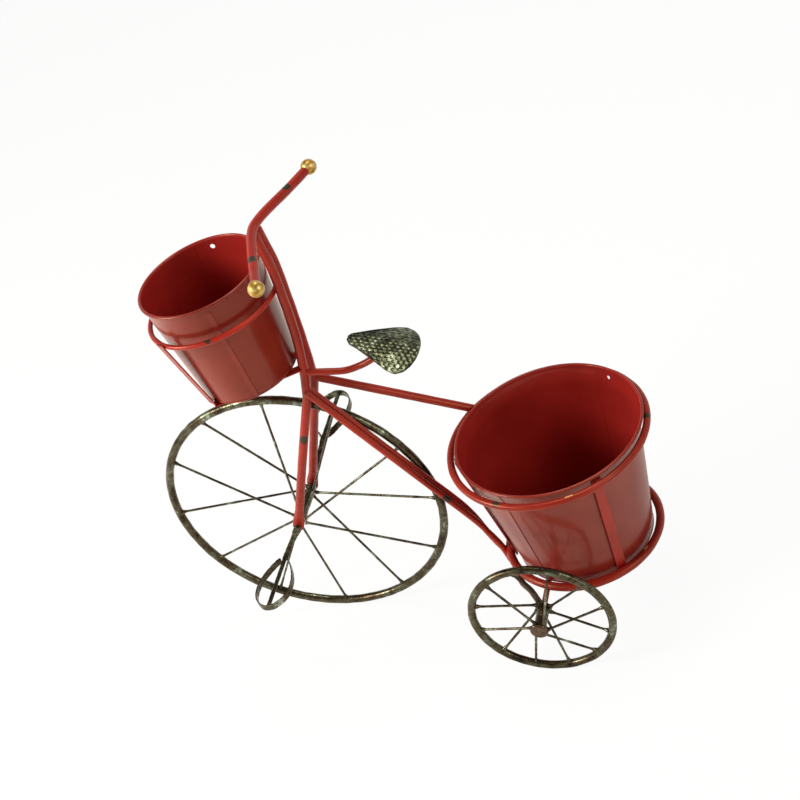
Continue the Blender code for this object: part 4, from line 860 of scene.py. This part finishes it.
AXLE_RADIUS = 0.0029
COLLAR_RADIUS = 0.0045
COLLAR_IN = HUB_INNER - 0.0026
COLLAR_OUT = HUB_INNER - 0.0004
axle_steps = [(-axle_half[1], AXLE_RADIUS * 0.8), (-axle_half[1] + 0.0004, AXLE_RADIUS),
              (-COLLAR_OUT, AXLE_RADIUS), (-COLLAR_OUT, COLLAR_RADIUS), (-COLLAR_IN, COLLAR_RADIUS),
              (-COLLAR_IN, AXLE_RADIUS)]
axle_steps += [(-y, radius) for y, radius in reversed(axle_steps)]
axle = skin("rear_axle_rod", turned(axle_middle, axle_steps, 28))
dress(axle, rod_enamel, "root", "frame_enamel", "rear_axle")


# Rear wheels: a rolled rim, a tube hub and twelve rods welded to its two ends, with a round
# cap outside that keeps the wheel on its axle. The wheels have the front wheel's pewter coat,
# the caps a browner one.
REAR_SPOKE_TURN = math.radians(9)
HUB_FLANGE_RADIUS = 0.0080
HUB_TUBE_RADIUS = 0.0060
HUB_FLANGE_THICKNESS = 0.0026
CAP_DENT = (0.0004, 0.008)
cap_pewter = pewter_paint("worn bronze-brown paint on the wheel caps", 5, "#2a211b", "#4d3b2d",
                          "#62503f", "#978a78")
for side_name, side in SIDES:
    rim_middle, rim_half = between("rear_rim_" + side_name)
    rod_radius = rim_half[1]
    rim_radius = rim_half[2] - rod_radius
    rim = skin("rear_wheel_hoop_" + side_name, dented(
        hoop(rim_middle, rim_radius, rod_radius, (0, 1, 0), 260, 24), *RIM_DENT, 25 + side),
        loop=True)
    dress(rim, wheel_pewter, "rear_wheel_" + side_name, "wheel_pewter", "rear_rim_" + side_name)

    half_hub = between("rear_hub_" + side_name)[1][1]
    bore = AXLE_RADIUS + 0.0004
    step = half_hub - HUB_FLANGE_THICKNESS
    hub_line = [(-half_hub, HUB_FLANGE_RADIUS), (-step, HUB_FLANGE_RADIUS),
                (-step, HUB_TUBE_RADIUS), (0, HUB_TUBE_RADIUS), (step, HUB_TUBE_RADIUS),
                (step, HUB_FLANGE_RADIUS), (half_hub, HUB_FLANGE_RADIUS), (half_hub, bore),
                (-half_hub, bore)]
    parts = [skin("hub_tube", turned(rim_middle, hub_line), loop=True)]
    for end in (-1, 1):
        for number in range(SPOKES_A_SIDE):
            parts.append(spoke("rod", rim_middle, spoke_turn(REAR_SPOKE_TURN, number, end),
                               HUB_TUBE_RADIUS + SPOKE_RADIUS, end * (half_hub - 0.0013),
                               rim_radius - rod_radius * 0.9, 60 + number))
    spider = joined("rear_spider_" + side_name, parts)
    dress(spider, wheel_pewter, "rear_wheel_" + side_name, "wheel_pewter", "rear_hub_" + side_name)

    cap_middle, cap_half = between("axle_cap_" + side_name)
    face = side * cap_half[1]
    cap_line = [(-face, cap_half[0] * 0.95), (-face * 0.8, cap_half[0]), (face * 0.1, cap_half[0]),
                (face * 0.6, cap_half[0] * 0.93), (face, cap_half[0] * 0.78)]
    cap = skin("axle_button_" + side_name, dented(turned(cap_middle, cap_line), *CAP_DENT, 31))
    dress(cap, cap_pewter, "root", "wheel_pewter", "axle_cap_" + side_name)


# Buckets: a cone of sheet steel with a wired rim, closed by two opposite lap seams, with a
# beaded foot and a hanging hole. The enamel is a browner red outside and a lighter red inside,
# where the extra lightness is painted light for the pale veil of reflected light on the inner wall.
BUCKET_SHEET = 0.0009
RIM_BEAD = 0.0015
FLARE_HEIGHT = 0.0220
FOOT_BEAD = ((-0.0012, 0.0), (-0.0002, 0.0), (0.0, 0.0004), (0.0006, 0.0010), (0.0006, 0.0018),
             (0.0002, 0.0026))
SEAM_STEP = 0.0008
SEAM_RISE_TURN = 0.085
SEAM_FLAT_TURN = 0.005
SEAM_FALL_TURN = 0.008
BUCKET_SWAY = (0.0003, 0.05)
BUCKET_SHARP_TURN = math.radians(35)
DRILL_HALF = 0.006


def bucket(name, foot, axis, height, rim_radius, neck_radius, foot_radius, seams, hole_turn,
           hole_radius, hole_drop):
    """A closed shell: circles from the underside's edge up the outside, over the rolled rim and
    down the inside. Across each lap seam the radius rises slowly by one sheet and drops back."""
    turn = np.unique(np.concatenate(
        [circle(220)] + [(seam + np.linspace(-0.10, 0.03, 40)) % (2 * np.pi) for seam in seams]))
    lap = np.zeros_like(turn)
    for seam in seams:
        past = (turn - seam + np.pi) % (2 * np.pi) - np.pi
        rising = np.clip((past + SEAM_FLAT_TURN) / SEAM_RISE_TURN + 1, 0, 1)
        falling = np.clip(1 - past / SEAM_FALL_TURN, 0, 1)
        lap = np.maximum(lap, np.where(past <= 0, rising, falling))
    neck_height = height - FLARE_HEIGHT
    lip_height = height - 2 * RIM_BEAD
    lip_radius = rim_radius - 1.5 * RIM_BEAD
    cone = [(foot_radius + share * (neck_radius - foot_radius), share * neck_height)
            for share in np.linspace(0.03, 1, 36)]
    cone += [(neck_radius + share ** 1.4 * (lip_radius - neck_radius),
              neck_height + share * (lip_height - neck_height))
             for share in np.linspace(0.08, 1, 14)]
    line = [(foot_radius + out, up) for out, up in FOOT_BEAD] + cone
    seamed = len(line) - 4
    line += [(rim_radius + RIM_BEAD * (math.cos(a) - 1), height + RIM_BEAD * (math.sin(a) - 1))
             for a in np.radians(np.linspace(-110, 150, 22))]
    inside = len(line)
    line += [(radius - BUCKET_SHEET, max(up, 0.0016)) for radius, up in reversed(cone)]
    line += [(foot_radius - BUCKET_SHEET - 0.0006, 0.0014),
             (foot_radius - BUCKET_SHEET - 0.0020, 0.0012)]
    line = np.array(line)
    step = np.zeros(len(line))
    step[5:seamed] = 1.0
    step[inside + 4:inside + len(cone)] = 0.35
    foot = np.array(foot)
    up, first, second = round_axis(axis)
    out = np.cos(turn)[:, None] * first + np.sin(turn)[:, None] * second
    sway_depth, sway_length = BUCKET_SWAY
    sway = sway_depth * ripple(foot + out * rim_radius, sway_length, 33)
    radius = (line[:, :1] + SEAM_STEP * step[:, None] * lap
              + (line[:, 1] / height * (step > 0))[:, None] * sway)
    pot = skin(name, foot + radius[..., None] * out + line[:, 1][:, None, None] * up)
    hole_out = math.cos(hole_turn) * first + math.sin(hole_turn) * second
    centre = foot + hole_out * neck_radius + (height - hole_drop) * up
    drill = skin("drill", bar(
        straight(centre - hole_out * DRILL_HALF, centre + hole_out * DRILL_HALF, 2), hole_radius,
        across=(0.1, 0.2, 1), sides=24))
    cut = pot.modifiers.new("hanging hole", "BOOLEAN")
    cut.operation = "DIFFERENCE"
    cut.object = drill
    bpy.context.view_layer.update()
    mesh = bpy.data.meshes.new_from_object(
        pot.evaluated_get(bpy.context.evaluated_depsgraph_get()))
    pot.modifiers.clear()
    pot.data = mesh
    bpy.data.objects.remove(drill, do_unlink=True)
    mesh.shade_smooth()
    mesh.set_sharp_from_angle(angle=BUCKET_SHARP_TURN)
    return pot


def bucket_enamel(name, foot, axis):
    """Enamel that is browner and drifts more outside the bucket's wall, and a lighter deep red
    inside, the extra lightness being painted light. The surface lies outside where it faces away
    from the axis through the foot."""
    material = new_material(name)
    place = add(material, "TexCoord").outputs["Object"]
    moved = add(material, "VectorMath", {"operation": "SUBTRACT"}, _0=place,
                _1=tuple(foot)).outputs[0]
    height = add(material, "VectorMath", {"operation": "DOT_PRODUCT"}, _0=moved,
                 _1=tuple(axis)).outputs["Value"]
    back = add(material, "VectorMath", {"operation": "SCALE"}, _0=tuple(axis),
               Scale=height).outputs[0]
    flat = add(material, "VectorMath", {"operation": "SUBTRACT"}, _0=moved, _1=back).outputs[0]
    facing = add(material, "VectorMath", {"operation": "DOT_PRODUCT"}, _0=flat,
                 _1=add(material, "NewGeometry").outputs["Normal"]).outputs["Value"]
    outside = add(material, "Math", {"operation": "GREATER_THAN"}, _0=facing, _1=0.0).outputs[0]
    drift = add(material, "TexNoise", Vector=place, Scale=16.0, Detail=3.0, Roughness=0.55)
    # The inner stops are lighter than the outer ones: painted light, standing for the pale veil of
    # reflected light on the inner wall.
    outer, inner = (
        add(material, "ValToRGB", {"stops": [(0.35, shade(deep)), (0.65, shade(fresh))]},
            Fac=drift.outputs["Fac"]).outputs["Color"]
        for deep, fresh in (("#761a12", "#86271a"), ("#8d1f1b", "#9c2521")))
    colour = add(material, "Mix", {"data_type": "RGBA"}, _0=outside, _6=inner,
                 _7=outer).outputs[2]
    peel = add(material, "TexNoise", Vector=place, Scale=280.0, Detail=2.0)
    bump = add(material, "Bump", Strength=0.08, Distance=0.0004, Height=peel.outputs["Fac"])
    principled(material, Base_Color=colour, Roughness=0.31, Specular_IOR_Level=0.36,
               Specular_Tint=shade("#ffc9a2"), Coat_Weight=0.25, Coat_Roughness=0.10,
               Normal=bump.outputs["Normal"])
    return material


rear_pot_middle, rear_pot_half = between("rear_pot")
REAR_FOOT_RADIUS = 0.0682
REAR_NECK_RADIUS = 0.08525
rear_foot = rear_pot_middle - (0, 0, rear_pot_half[2])
rear_height = 2 * rear_pot_half[2]
rear_bucket = bucket("rear_bucket_shell", rear_foot, (0, 0, 1), rear_height, rear_pot_half[0],
                     REAR_NECK_RADIUS, REAR_FOOT_RADIUS,
                     (math.radians(-114), math.radians(66)), math.radians(56), 0.0019, 0.0088)
dress(rear_bucket, bucket_enamel("red enamel on the rear bucket", rear_foot, (0, 0, 1)),
      "rear_bucket", "bucket_enamel", "rear_pot")


# Front basket and bucket: they lean a little forward together. The ring touches the stem and
# two flat straps run down outside it, bend under the bucket and come back to the fork tubes.
LEAN = math.radians(2.5)
lean_up = np.array([-math.sin(LEAN), 0, math.cos(LEAN)])
lean_along = np.array([math.cos(LEAN), 0, math.sin(LEAN)])
front_ring_middle, front_ring_half = between("front_basket_ring")
FRONT_RING_ROD = 0.0026
front_ring_radius = front_ring_half[1] - FRONT_RING_ROD
FRONT_BUCKET_HEIGHT = 0.1182
FRONT_RING_DROP = 0.0330
FRONT_FOOT_RADIUS = 0.0484
FRONT_NECK_RADIUS = 0.05846
FRONT_RIM_RADIUS = 0.0621
front_foot = front_ring_middle + (FRONT_RING_DROP - FRONT_BUCKET_HEIGHT) * lean_up
# The front ring's enamel is a lighter copy of the rings' red: painted light, standing for the light
# it takes from above.
front_ring_lit_enamel = red_enamel(
    "red enamel lightened with painted light on the front ring", "#9a1a13", "#b0271c",
    [tuple(front_ring_middle + front_ring_radius * (math.cos(a) * lean_along
                                                    + math.sin(a) * np.array([0, 1, 0]))
           + 0.0020 * lean_up) for a in (math.radians(-76),)], [], 0.0034)
front_ring = skin("front_hoop", dented(hoop(front_ring_middle, front_ring_radius, FRONT_RING_ROD,
                                            lean_up, 260), *RING_DENT, 18), loop=True)
dress(front_ring, front_ring_lit_enamel, "root", "frame_enamel", "front_basket_ring")
front_bucket = bucket("front_bucket_shell", front_foot, lean_up, FRONT_BUCKET_HEIGHT,
                      FRONT_RIM_RADIUS, FRONT_NECK_RADIUS, FRONT_FOOT_RADIUS,
                      (math.radians(-63), math.radians(115)), math.radians(98), 0.0025, 0.0095)
dress(front_bucket, bucket_enamel("red enamel on the front bucket", front_foot, tuple(lean_up)),
      "front_bucket", "bucket_enamel", "front_pot")

STRAP_TURN = math.radians(122)
STRAP_HALF_WIDE = 0.0050
STRAP_THICKNESS = 0.0015
STRAP_STANDOFF = 0.0025
STRAP_HEAD_RISE = 0.0030
STRAP_TOUCH_GAP = 0.0002
STRAP_UNDER_GAP = 0.0003
STRAP_TWIST_ROWS = 12
strap_outside = front_ring_radius + FRONT_RING_ROD + STRAP_TOUCH_GAP + STRAP_THICKNESS / 2
strap_foot = FRONT_FOOT_RADIUS + STRAP_STANDOFF + STRAP_THICKNESS / 2
strap_floor = FRONT_RING_DROP - FRONT_BUCKET_HEIGHT - STRAP_UNDER_GAP - STRAP_THICKNESS / 2
STRAP_BEND = 0.0028
STRAP_ROWS = 30
for side_name, side in SIDES:
    out = math.cos(STRAP_TURN) * lean_along + side * math.sin(STRAP_TURN) * np.array([0, 1, 0])
    head = front_ring_middle + strap_outside * out + STRAP_HEAD_RISE * lean_up
    corner = front_ring_middle + strap_foot * out + strap_floor * lean_up
    rise = (CROWN[0] - corner[0]) * math.tan(LEAN)
    end = stem_place(corner[2] + rise - CROWN[2], side_name)
    down = unit(corner - head)
    inward = unit(end - corner)
    share = np.linspace(0, 1, 12)[1:-1, None]
    start_bend, stop_bend = corner - STRAP_BEND * down, corner + STRAP_BEND * inward
    rounding = (start_bend * (1 - share) ** 2 + corner * 2 * share * (1 - share)
                + stop_bend * share ** 2)
    path = np.concatenate([straight(head, start_bend, STRAP_ROWS), rounding,
                           straight(stop_bend, end - inward * TUBE_RADIUS * 0.6, STRAP_ROWS)])
    first_side = np.cross(lean_up, out)
    last_side = np.cross(inward, lean_up)
    last_side *= np.sign(first_side @ last_side)
    turned_share = np.clip((np.arange(len(path)) - STRAP_ROWS + 1) / STRAP_TWIST_ROWS, 0, 1)[:, None]
    aside = first_side * (1 - turned_share) + last_side * turned_share
    face = np.cross(aside, np.gradient(path, axis=0))
    strap = skin("front_flat_" + side_name, block_bar(path, STRAP_HALF_WIDE, STRAP_THICKNESS / 2,
                                                      face, FLAT_CORNER))
    dress(strap, strip_enamel, "root", "frame_enamel", "front_basket_strap_" + side_name)
